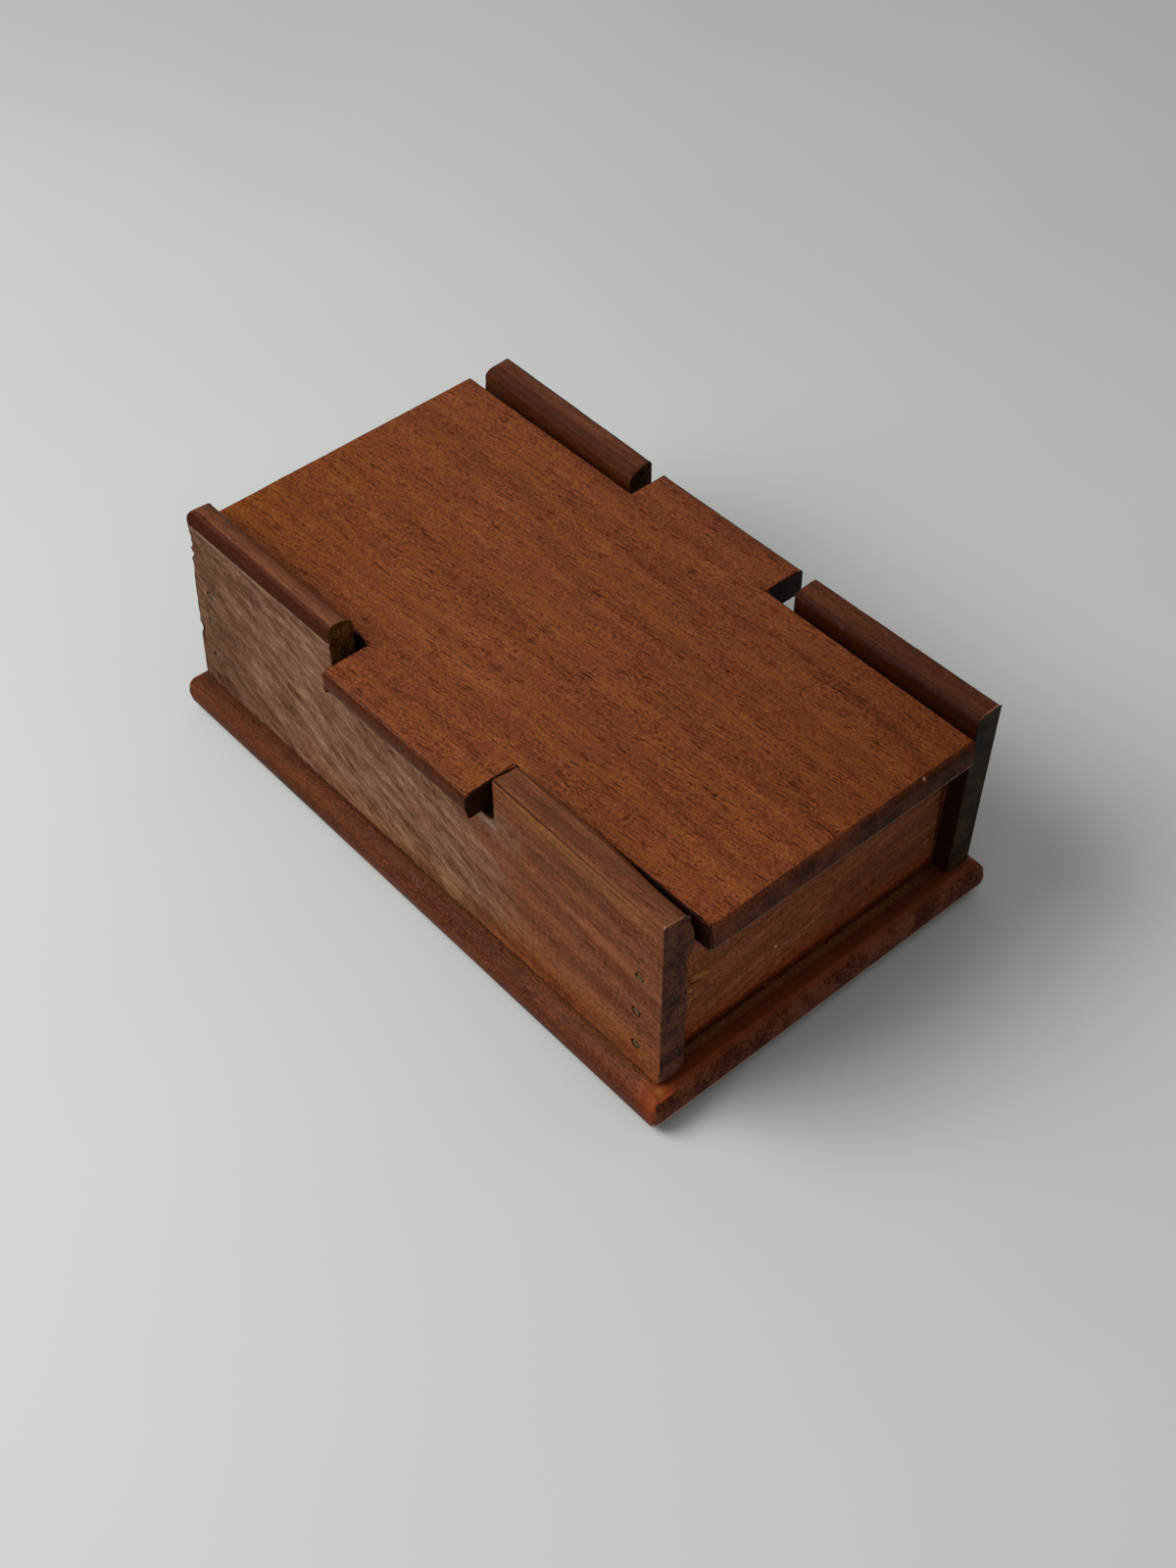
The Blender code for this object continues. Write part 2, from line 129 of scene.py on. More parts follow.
# The floor's radius in metres, and how bright the wall behind it looks
FLOOR_RADIUS = 3
WALL_BRIGHTNESS = 0.85

# Places where an edge was knocked, as a point, a reach and a depth in millimetres
KNOCKS = (
    ((104.4, 28.0, 70.6), 2.2, 0.2),
    ((104.2, -45.0, 69.8), 3.0, 0.6),
    ((100.5, -57.6, 12.0), 3.5, 0.6),
    ((-98.4, -57.4, 33.0), 2.0, 0.9),
    ((-96.6, -57.4, 66.5), 1.6, 0.9),
    ((-96.4, -57.4, 69.6), 1.5, 0.8),
    ((-97.0, -57.4, 62.8), 1.5, 0.7),
    ((100.0, -49.0, 57.0), 2.6, 0.5),
    ((-30.6, 53.0, 71.4), 1.8, 0.4),
    ((36.0, -60.5, 70.2), 2.4, 0.5),
)

# How far noise moves the ragged outlines of marks, in millimetres; half of it on average
RAGGED_DRIFT = (2.0, 2.0, 2.0)

# Node socket numbers of a Mix node that mixes colours
FACTOR = 0
FIRST = 6
SECOND = 7
MIXED = 2


def linear(code):
    """Turn an sRGB hex colour into linear red, green, blue and alpha."""
    channels = []
    for start in range(0, 6, 2):
        value = int(code[start : start + 2], 16) / 255
        channels.append(value / 12.92 if value <= 0.04045 else ((value + 0.055) / 1.055) ** 2.4)
    return (*channels, 1.0)


def add_object(name, data):
    """Add an object that holds the data to the scene."""
    thing = bpy.data.objects.new(name, data)
    bpy.context.scene.collection.objects.link(thing)
    return thing


# Settings that a user would change


def length_setting(name, description, millimetres):
    """Describe a setting that holds a length."""
    return FloatProperty(name=name, description=description, default=millimetres * MM, unit="LENGTH")


def angle_setting(name, description, degrees):
    """Describe a setting that holds an angle."""
    default = math.radians(degrees)
    return FloatProperty(name=name, description=description, default=default, subtype="ANGLE")


def colour_setting(name, description, code):
    """Describe a setting that holds a colour, given as sRGB hex."""
    return FloatVectorProperty(
        name=name, description=description, default=linear(code), size=4, subtype="COLOR"
    )


class BoxWear(PropertyGroup):
    """How far hands and years have worn the boards."""

    slice_spacing: length_setting(
        "Slice spacing", "Distance between the cuts that give a board points to wear", 1.5
    )
    arris_wear: length_setting(
        "Arris wear", "How far the most worn stretches of a rounded edge have gone in", 0.3
    )
    face_waviness: length_setting(
        "Face waviness", "How far a hand-planed face dips between its high places", 0.1
    )
    sanded_step: length_setting(
        "Sanded step", "How far the sides' outer faces lie behind the rounded ears over them", 0.35
    )
    back_edge_wear: length_setting(
        "Back edge wear", "Depth of the broken places along the side boards' back edges", 1.4
    )
    band_groove: length_setting(
        "Band groove", "Depth of the groove under the smooth band round each ear", 0.2
    )
    front_swelling: length_setting(
        "Front swelling", "How far the left board's inner face stands in under its front gap", 1.3
    )
    ear_fullness: length_setting(
        "Ear fullness", "How far the left front ear stands in towards the lid behind that gap", 1.2
    )


class BoxNails(PropertyGroup):
    """Sizes of the nails, which are alike apart from their length."""

    head_radius: length_setting("Head radius", "Radius of a nail's head", 1.1)
    head_thickness: length_setting("Head thickness", "Thickness of a nail's head", 0.7)
    shank_radius: length_setting("Shank radius", "Radius of a nail's shank", 0.6)
    point_length: length_setting("Point length", "Length of a nail's tapered point", 2)
    sides: IntProperty(name="Sides", description="Number of flats round a nail", default=14)


class BoxFinish(PropertyGroup):
    """Colours of the boards and the size of the wood's pores."""

    pore_length: length_setting(
        "Pore length", "Length of the cells that hold the mahogany's open pores", 6.5
    )
    pore_width: length_setting(
        "Pore width", "Distance between neighbouring pores across the grain", 0.62
    )
    lid_colour: colour_setting("Lid colour", "Middle tone of the rubbed lid", "6D371E")
    side_colour: colour_setting(
        "Side colour", "Middle tone of the side boards under their dust", "6E3C26"
    )
    dust_colour: colour_setting(
        "Dust colour", "Dry grey-brown of the side boards' sanded outer faces", "6E4C36"
    )
    end_colour: colour_setting("End colour", "Middle tone of the end boards", "753C21")
    base_colour: colour_setting("Base colour", "Middle tone of the base board", "5E2F1C")


class BoxStage(PropertyGroup):
    """Floor, lamps and the camera that stands where the photograph was taken from."""

    camera_azimuth: angle_setting(
        "Camera azimuth", "Angle round the box, from its left side towards its front end", 48.91
    )
    camera_elevation: angle_setting("Camera elevation", "Angle of the camera above the floor", 47.22)
    camera_roll: angle_setting("Camera roll", "Turn of the camera about its own axis", -0.269)
    camera_distance: length_setting(
        "Camera distance", "Distance from the camera to the place on the floor that it looks at", 645.84
    )
    camera_target: FloatVectorProperty(
        name="Camera target",
        description="Place on the floor at the middle of the picture",
        default=(0.41 * MM, 6.26 * MM, 0.0),
        subtype="TRANSLATION",
    )
    focal_pixels: FloatProperty(
        name="Focal length in pixels",
        description="Focal length measured in pixels of the photograph",
        default=2244.0,
    )
    floor_colour: colour_setting("Floor colour", "Colour of the pale floor", "C2C4C1")
    lamp_power: FloatProperty(
        name="Lamp power", description="Power of the large soft lamp", default=9.0, unit="POWER"
    )
    daylight: FloatProperty(
        name="Daylight", description="Strength of the even light from all round", default=0.45
    )


# Patterns in the wood


def set_sockets(tree, node, sockets):
    """Set or link a node's sockets, by name or number; a node stands for its first output."""
    for key, value in sockets.items():
        if isinstance(value, bpy.types.Node):
            value = value.outputs[0]
        if isinstance(value, bpy.types.NodeSocket):
            tree.links.new(value, node.inputs[key])
        else:
            node.inputs[key].default_value = value


def add_node(tree, kind, sockets=None, **settings):
    """Add a node, give it its settings, and set or link its sockets."""
    node = tree.nodes.new(kind)
    for name, value in settings.items():
        setattr(node, name, value)
    set_sockets(tree, node, sockets or {})
    return node


def new_material(name):
    """Start a material with a Principled shader and return it, its tree and the shader."""
    material = bpy.data.materials.new(name)
    material.use_nodes = True
    tree = material.node_tree
    shader = tree.nodes["Principled BSDF"]
    shader.inputs["Specular IOR Level"].default_value = 0.05
    return material, tree, shader


def drawn_out(tree, place, length, width, detail):
    """Return noise drawn out along the grain, its patches about length by width millimetres."""
    scale = (1 / length, 1 / width, 1 / width)
    stretch = add_node(tree, "ShaderNodeMapping", {"Vector": place, "Scale": scale})
    sockets = {"Vector": stretch, "Scale": 1.0, "Detail": detail, "Roughness": 0.6}
    return add_node(tree, "ShaderNodeTexNoise", sockets)


def drifted(tree, place, scale, detail, drift):
    """Return a place that noise of this scale has moved, on average by half of the drift."""
    cloud = add_node(tree, "ShaderNodeTexNoise", {"Vector": place, "Scale": scale, "Detail": detail})
    moved = add_node(
        tree,
        "ShaderNodeVectorMath",
        {0: cloud.outputs["Color"], 1: drift, 2: place},
        operation="MULTIPLY_ADD",
    )
    return moved


def pore_pattern(tree, place, length, width, fullness, bare):
    """Return 1 in the wood's pores and 0 between them.

    The cells are length by width millimetres, fullness is the largest pore's share of its cell
    and bare the share of the cells that have none. The real pores, about a fifth of a
    millimetre wide, are too fine for the picture, so all of them are drawn coarser.
    """
    scale = (1 / length, 1 / width, 1 / width)
    stretch = add_node(tree, "ShaderNodeMapping", {"Vector": place, "Scale": scale})
    cells = add_node(tree, "ShaderNodeTexVoronoi", {"Vector": stretch, "Scale": 1.0})
    chance = add_node(tree, "ShaderNodeSeparateColor", {0: cells.outputs["Color"]})
    reach = add_node(
        tree, "ShaderNodeMapRange", {"Value": chance, "From Min": bare, "To Max": fullness}
    )
    rim = add_node(tree, "ShaderNodeMath", {0: reach, 1: 0.6}, operation="MULTIPLY")
    pores = add_node(
        tree,
        "ShaderNodeMapRange",
        {"Value": cells.outputs["Distance"], "From Min": reach, "From Max": rim},
    )
    return pores


def where(tree, *limits):
    """Return the share, from 0 to 1, in which a place meets every limit.

    Each limit is a value with the amounts at which it is met not at all and fully.
    """
    share = None
    for value, unmet, met in limits:
        step = add_node(
            tree,
            "ShaderNodeMapRange",
            {"Value": value, "From Min": unmet, "From Max": met},
            interpolation_type="SMOOTHSTEP",
        )
        if share is None:
            share = step
        else:
            share = add_node(tree, "ShaderNodeMath", {0: share, 1: step}, operation="MULTIPLY")
    return share


def mark(tree, place, centre, reach, turn=(0.0, 0.0, 0.0)):
    """Return 1 at the middle of a soft oval mark and 0 outside it; sizes in millimetres."""
    local = add_node(
        tree,
        "ShaderNodeMapping",
        {"Vector": place, "Location": centre, "Rotation": turn, "Scale": reach},
        vector_type="TEXTURE",
    )
    distance = add_node(tree, "ShaderNodeVectorMath", {0: local}, operation="LENGTH")
    share = add_node(
        tree,
        "ShaderNodeMapRange",
        {"Value": distance.outputs["Value"], "From Min": 1.0, "From Max": 0.45},
        interpolation_type="SMOOTHSTEP",
    )
    return share


def ragged_mark(tree, grain, centre, reach, turn=(0.0, 0.0, 0.0)):
    """Return a soft oval mark with a ragged outline; its centre and reach in millimetres."""
    centre = Vector(centre) + Vector(RAGGED_DRIFT) / 2
    return mark(tree, grain.rough, centre, reach, turn)


def lay_over(tree, colour, *coats):
    """Lay coats over a colour, each as its share, its strength and its tint.

    A tint is an sRGB hex colour, a node's colour, or three numbers that say how much of the
    red, the green and the blue the coat keeps.
    """
    for share, strength, tint in coats:
        weight = add_node(tree, "ShaderNodeMath", {0: share, 1: strength}, operation="MULTIPLY")
        blend = "MIX"
        if isinstance(tint, tuple):
            tint = (*tint, 1.0)
            blend = "MULTIPLY"
        elif isinstance(tint, str):
            tint = linear(tint)
        sockets = {FACTOR: weight, FIRST: colour, SECOND: tint}
        laid = add_node(tree, "ShaderNodeMix", sockets, data_type="RGBA", blend_type=blend)
        colour = laid.outputs[MIXED]
    return colour


class Grain:
    """The patterns that every face of a mahogany board shares, for one board's material.

    place is in millimetres on the board, rough is the same with a ragged drift for the
    outlines of marks, along is place turned so that X follows the grain, from which the
    fibres and pores slant a little, outwards is how far a face looks away from the box's
    middle, and the patterns run from 0 to 1.
    """

    def __init__(self, tree, turn, slant, shift, finish):
        coordinates = add_node(tree, "ShaderNodeTexCoord")
        self.place = add_node(
            tree,
            "ShaderNodeMapping",
            {"Vector": coordinates.outputs["Object"], "Scale": (PER_MM, PER_MM, PER_MM)},
        )
        self.rough = drifted(tree, self.place, 0.6, 3.0, RAGGED_DRIFT)
        turned = add_node(
            tree, "ShaderNodeMapping", {"Vector": self.place, "Rotation": turn, "Location": shift}
        )
        # The grain wanders by about 3 mm, over about 80 mm along it and 24 mm across it
        drift = add_node(
            tree, "ShaderNodeMapping", {"Vector": turned, "Scale": (1 / 80, 1 / 24, 1 / 24)}
        )
        wander = add_node(tree, "ShaderNodeTexNoise", {"Vector": drift, "Scale": 1.0, "Detail": 1.0})
        self.along = add_node(
            tree,
            "ShaderNodeVectorMath",
            {0: wander.outputs["Color"], 1: (0.0, 6.0, 6.0), 2: turned},
            operation="MULTIPLY_ADD",
        )
        self.at = add_node(tree, "ShaderNodeSeparateXYZ", {0: self.place}).outputs
        self.facing = add_node(
            tree, "ShaderNodeSeparateXYZ", {0: coordinates.outputs["Normal"]}
        ).outputs
        half = add_node(tree, "ShaderNodeMath", {0: self.at["Y"]}, operation="SIGN")
        self.outwards = add_node(
            tree, "ShaderNodeMath", {0: half, 1: self.facing["Y"]}, operation="MULTIPLY"
        )
        grain_axis = add_node(
            tree,
            "ShaderNodeMapping",
            {"Vector": coordinates.outputs["Normal"], "Rotation": turn},
            vector_type="NORMAL",
        )
        end_facing = add_node(tree, "ShaderNodeSeparateXYZ", {0: grain_axis})
        across = add_node(tree, "ShaderNodeMath", {0: end_facing}, operation="ABSOLUTE")
        self.end_grain = where(tree, (across, 0.4, 0.7))
        self.arris = add_node(tree, "ShaderNodeAttribute", attribute_name="arris").outputs["Fac"]
        length = finish.pore_length * PER_MM
        width = finish.pore_width * PER_MM
        self.figure = drawn_out(tree, self.along, 70, 5.5, 2.0)
        fibres = add_node(tree, "ShaderNodeMapping", {"Vector": self.along, "Rotation": slant})
        self.streaks = drawn_out(tree, fibres, 6, 0.4, 2.0)
        self.fleck = drawn_out(tree, fibres, 0.9, 0.4, 2.0)
        self.patches = drawn_out(tree, self.along, 17, 6, 2.0)
        self.gold = drawn_out(tree, self.along, 30, 3.5, 2.0)
        self.pores = pore_pattern(tree, fibres, length, width, 0.46, 0.5)
        self.fine_pores = pore_pattern(tree, fibres, length * 0.35, width * 0.75, 0.5, 0.45)


def wood_colour(tree, grain, dark, middle, light, patch, gold, pore, pore_share, banding):
    """Return the wood's colour, from dark lines to light ribbons, with patches and pores."""
    streaked = add_node(
        tree,
        "ShaderNodeMath",
        {0: grain.figure, 1: banding, 2: grain.streaks},
        operation="MULTIPLY_ADD",
    )
    flecked = add_node(
        tree, "ShaderNodeMath", {0: grain.fleck, 1: 2.0, 2: streaked}, operation="MULTIPLY_ADD"
    )
    centre = 1.5 + banding / 2
    spread = add_node(
        tree,
        "ShaderNodeMapRange",
        {"Value": flecked, "From Min": centre - 0.42, "From Max": centre + 0.42},
    )
    ramp = add_node(tree, "ShaderNodeValToRGB", {0: spread})
    ramp.color_ramp.elements[0].color = linear(dark)
    ramp.color_ramp.elements[1].color = linear(light)
    ramp.color_ramp.elements.new(0.5).color = middle
    both = add_node(tree, "ShaderNodeMath", {0: grain.pores, 1: grain.fine_pores}, operation="MAXIMUM")
    return lay_over(
        tree,
        ramp,
        (where(tree, (grain.patches, 0.46, 0.68)), 0.35, patch),
        (where(tree, (grain.gold, 0.46, 0.7)), 0.35, gold),
        (both, pore_share, pore),
    )


def end_grain_colour(tree, grain, dark, light):
    """Return the colour of wood cut across the grain: fine specks in soft clouds."""
    cloud = add_node(tree, "ShaderNodeTexNoise", {"Vector": grain.place, "Scale": 0.16, "Detail": 2.0})
    specks = add_node(
        tree,
        "ShaderNodeTexNoise",
        {"Vector": grain.place, "Scale": 1.5, "Detail": 4.0, "Roughness": 0.7},
    )
    tone = add_node(tree, "ShaderNodeMath", {0: cloud, 1: 0.6, 2: specks}, operation="MULTIPLY_ADD")
    share = where(tree, (tone, 0.7, 0.9))
    return lay_over(tree, linear(dark), (share, 1.0, light))


def wood_relief(tree, grain, strength):
    """Return normals that sink the pores and raise the streaks, so that light catches them."""
    sunk = add_node(
        tree, "ShaderNodeMath", {0: grain.pores, 1: -1.0, 2: grain.streaks}, operation="MULTIPLY_ADD"
    )
    height = add_node(
        tree, "ShaderNodeMath", {0: grain.fleck, 1: 0.8, 2: sunk}, operation="MULTIPLY_ADD"
    )
    bump = add_node(
        tree, "ShaderNodeBump", {"Strength": strength, "Distance": RELIEF, "Height": height}
    )
    return bump


# Finishes of the boards


def lid_mahogany(finish):
    """Mahogany, planed and rubbed with wax: a satin face, warm bands, short dark open pores."""
    material, tree, shader = new_material("rubbed_mahogany_lid")
    grain = Grain(tree, (0.0, 0.0, 0.02), (0.0, 0.0, math.radians(-7)), (31.0, 12.0, 5.0), finish)
    x, y, z = grain.at
    wood = wood_colour(
        tree,
        grain,
        dark="47200C",
        middle=finish.lid_colour,
        light="8A4E28",
        patch="602E20",
        gold="7A4619",
        pore="2A1206",
        pore_share=0.8,
        banding=0.8,
    )
    end = end_grain_colour(tree, grain, "32180E", "623622")
    on_top = (grain.facing["Z"], 0.7, 0.9)
    # Painted shade: the top darkens towards its right side and its front and turns yellower there; the
    # back stretch only turns yellower
    shaded_far_right = where(tree, (x, -60.0, 110.0), (y, -40.0, 50.0), on_top)
    shaded_near_front = where(tree, (x, 20.0, 110.0), on_top)
    far_back = where(tree, (x, -20.0, -100.0), (y, 40.0, -40.0), on_top)
    shaded_right_front = where(tree, (x, 50.0, 110.0), (y, -30.0, 40.0))
    # Painted shade on the lid's sides that face outwards, the tabs' noses among them
    shaded_nose = where(tree, (grain.outwards, 0.1, 0.7))
    front_side = where(tree, (grain.facing["X"], 0.2, 0.9))
    # Painted shade darkens the lid's front edge
    front_edge = where(tree, (grain.facing["X"], 0.3, 0.9), (y, -50.0, 50.0))
    from_axis = add_node(tree, "ShaderNodeMath", {0: y}, operation="ABSOLUTE")
    # Painted shade, near black, on the tabs' front end faces next to their inner corners, beside the
    # gaps at the ears
    shaded_tab_ends = where(tree, (grain.facing["X"], 0.5, 0.8), (from_axis, 46.0, 49.0), (x, 60.0, 50.0))
    from_notch = add_node(
        tree,
        "ShaderNodeMath",
        {0: x, 1: (NOTCH_BACK + NOTCH_FRONT["left_side"]) / 2},
        operation="SUBTRACT",
    )
    from_middle = add_node(tree, "ShaderNodeMath", {0: from_notch}, operation="ABSOLUTE")
    gap_shade = where(
        tree,
        (from_middle, 27.5, 29.5),
        (from_middle, 37.0, 35.0),
        (grain.outwards, 0.3, 0.7),
        (from_axis, 52.0, 50.0),
    )
    # Painted shade on the lid's sides towards the front, along the gaps beside the front ears
    shade_beside_ear = where(
        tree,
        (grain.outwards, 0.3, 0.7),
        (from_axis, 52.0, 50.0),
        (x, 66.0, 82.0),
        (grain.facing["X"], 0.35, 0.1),
    )
    tab_arris = where(
        tree,
        (grain.outwards, 0.2, 0.4),
        (grain.outwards, 0.8, 0.6),
        (grain.facing["Z"], 0.2, 0.5),
        (from_middle, 34.0, 33.0),
        (grain.streaks, 0.4, 0.55),
    )
    low_arris = where(
        tree,
        (x, LID_FRONT - 3, LID_FRONT - 2),
        (z, LID_UNDERSIDE + 2.0, LID_UNDERSIDE + 1.5),
        (z, LID_UNDERSIDE + 0.7, LID_UNDERSIDE + 1.1),
        (grain.streaks, 0.4, 0.5),
    )
    spots = (
        ((43.9, 17.2), 1.0, 0.75),
        ((73.6, -15.5), 1.0, 0.75),
        ((2.6, -27.9), 2.6, 0.3),
        ((-12.2, -36.8), 2.4, 0.35),
        ((-4.0, 8.0), 4.0, 0.22),
    )
    scratches = (
        ((42.4, -17.0), (58.8, -15.1)), ((52.8, -13.0), (86.4, -17.8)), ((-58.0, -7.0), (-44.0, -8.5))
    )
    coats = [
        (grain.end_grain, 1.0, end),
        # Painted shade over the top's right side and front, with a yellower tone
        (shaded_far_right, 0.8, (0.74, 0.7, 0.68)),
        (shaded_near_front, 0.5, (0.98, 0.9, 0.72)),
        (shaded_right_front, 0.8, (0.9, 0.88, 0.62)),
        (far_back, 0.9, (1.0, 0.98, 0.6)),
        (grain.arris, 0.3, "5A2C18"),
        # Painted shade on the outward sides
        (shaded_nose, 1.0, (0.36, 0.27, 0.12)),
        # Painted shade on the front edge
        (front_edge, 0.9, (0.5, 0.42, 0.36)),
        (front_side, 0.9, (1.08, 0.92, 0.86)),
        (low_arris, 0.5, "86705E"),
        (shaded_tab_ends, 0.9, "200C04"),
        (gap_shade, 0.9, "180A04"),
        (shade_beside_ear, 0.85, "180905"),
        (tab_arris, 0.25, "8A5634"),
    ]
    for centre, radius, strength in spots:
        spot = ragged_mark(tree, grain, (*centre, LID_TOP), (radius, radius, radius * 2))
        coats.append((spot, strength, "24120C"))
    for near, far in scratches:
        run = Vector(far) - Vector(near)
        middle = (Vector(near) + Vector(far)) / 2
        turn = (0.0, 0.0, math.atan2(run.y, run.x))
        line = ragged_mark(tree, grain, (*middle, LID_TOP), (run.length / 2, 0.8, 3.0), turn)
        broken = where(tree, (line, 0.0, 0.6), (grain.streaks, 0.5, 0.42))
        coats.append((broken, 0.8, "2A140C"))
    chip = mark(tree, grain.place, (LID_FRONT - 0.6, 28.0, LID_TOP - 0.7), (0.9, 0.5, 0.9))
    coats.append((chip, 0.7, "B08E70"))
    colour = lay_over(tree, wood, *coats)
    gloss = add_node(
        tree,
        "ShaderNodeMapRange",
        {"Value": grain.figure, "From Min": 0.3, "From Max": 0.7, "To Min": 0.56, "To Max": 0.46},
    )
    relief = wood_relief(tree, grain, 0.55)
    set_sockets(tree, shader, {"Base Color": colour, "Roughness": gloss, "Normal": relief})
    return material


def side_mahogany(finish):
    """Mahogany, sawn and sanded by hand: dusty grey outer faces, ears rubbed smooth and dark, with
    painted shade in the ears' back bands, the grooves under them, the notch floors and the front
    recesses.
    """
    material, tree, shader = new_material("hand_sanded_mahogany_sides")
    grain = Grain(tree, (0.0, math.radians(-3), 0.0), (0.0, 0.0, 0.0), (7.0, 40.0, 3.0), finish)
    x, y, z = grain.at
    wood = wood_colour(
        tree,
        grain,
        dark="4C2518",
        middle=finish.side_colour,
        light="8A5534",
        patch="5E382C",
        gold="6C4220",
        pore="2A150C",
        pore_share=0.7,
        banding=1.2,
    )
    below = add_node(tree, "ShaderNodeAttribute", attribute_name="below_band").outputs["Fac"]
    dash_place = add_node(
        tree, "ShaderNodeMapping", {"Vector": grain.place, "Rotation": (0.0, math.radians(-21), 0.0)}
    )
    wavy_place = drifted(tree, dash_place, 1 / 15, 1.0, (0.0, 0.0, 3.2))
    dashes = drawn_out(tree, wavy_place, 4.0, 0.5, 3.0)
    short_dashes = drawn_out(tree, wavy_place, 1.1, 0.38, 3.0)
    face_pores = pore_pattern(tree, wavy_place, 3.4, 0.55, 0.46, 0.45)
    cloudy = drawn_out(tree, dash_place, 30, 12, 2.0)
    smears = drawn_out(tree, wavy_place, 14, 3.2, 3.0)
    worked = add_node(
        tree, "ShaderNodeMath", {0: short_dashes, 1: 0.7, 2: dashes}, operation="MULTIPLY_ADD"
    )
    smeared = add_node(tree, "ShaderNodeMath", {0: smears, 1: 0.9, 2: worked}, operation="MULTIPLY_ADD")
    dry_tone = add_node(
        tree, "ShaderNodeMapRange", {"Value": smeared, "From Min": 0.98, "From Max": 1.62}
    )
    dry = add_node(tree, "ShaderNodeValToRGB", {0: dry_tone})
    dry.color_ramp.elements[0].color = linear("351D12")
    dry.color_ramp.elements[1].color = linear("9C7A60")
    dry.color_ramp.elements.new(0.5).color = finish.dust_colour
    face = (grain.outwards, 0.55, 0.85)
    on_left = (y, 5.0, -5.0)
    on_right = (y, -5.0, 5.0)
    on_ear = (z, 61.0, 62.0)
    at_front_end = (x, 90.0, 95.0)
    behind_notch = (x, 50.0, 40.0)
    cut_across = (grain.end_grain, 0.1, 0.6)
    dusty = add_node(
        tree,
        "ShaderNodeMath",
        {0: cloudy, 1: 1.6, 2: where(tree, (x, 70.0, 0.0))},
        operation="MULTIPLY_ADD",
    )
    foot = where(tree, (z, 27.0, 15.0), (x, -110.0, 10.0), face)
    low_front = where(tree, (z, 34.0, 20.0), (x, 20.0, 50.0), face)
    amber = where(tree, (x, 30.0, 55.0), (x, 98.0, 86.0), (below, 9.0, 1.5), (below, 0.2, 0.6), face)
    ear_band = where(tree, (below, 0.15, -0.15), (grain.outwards, 0.1, 0.75))
    # The back ears' dark band is partly the rubbed wood's own colour and partly painted shade under the
    # rounded bead
    back_band_and_shade = where(tree, (ear_band, 0.0, 1.0), (x, 0.0, -10.0))
    front_band = where(tree, (ear_band, 0.0, 1.0), (x, 0.0, 10.0))
    crown = where(tree, (grain.facing["Z"], 0.55, 0.85), (z, 62.0, 64.0))
    inner_slope = where(tree, (grain.outwards, 0.0, -0.45), (z, 60.0, 63.0))
    inner_wall = where(tree, (grain.outwards, -0.7, -0.9), (z, 60.0, 58.0))
    lines = drawn_out(tree, grain.along, 26, 0.55, 1.0)
    ear_lines = where(tree, (lines, 0.52, 0.62), on_ear)
    right_notch_end = where(tree, cut_across, on_right, behind_notch)
    right_ears = where(tree, on_right, on_ear)
    right_front_ear = where(tree, on_right, (x, 0.0, 20.0), on_ear)
    right_slopes = where(tree, on_right, (grain.outwards, -0.15, -0.5), on_ear)
    # Painted shade, near black, on the side boards' inner faces in the recess in front of the front end
    # board
    recess_shade = where(
        tree,
        (grain.outwards, -0.5, -0.9),
        (x, END_FACE - 0.4, END_FACE + 0.4),
        (z, LID_UNDERSIDE + 4, LID_UNDERSIDE),
    )
    # Painted shade: a dark line in the shallow groove under each ear's band
    groove_shade = where(
        tree, (below, -0.5, -0.15), (below, 0.65, 0.3), on_ear, (grain.outwards, 0.1, 0.4)
    )
    under_band = where(tree, (below, 0.4, 0.8), (below, 2.2, 1.0), (x, 10.0, 0.0), on_ear, face)
    rim = where(tree, (z, 57.6, 58.2), (z, 61.0, 60.5), (x, -34.0, -30.0), (x, 40.0, 36.0), face)
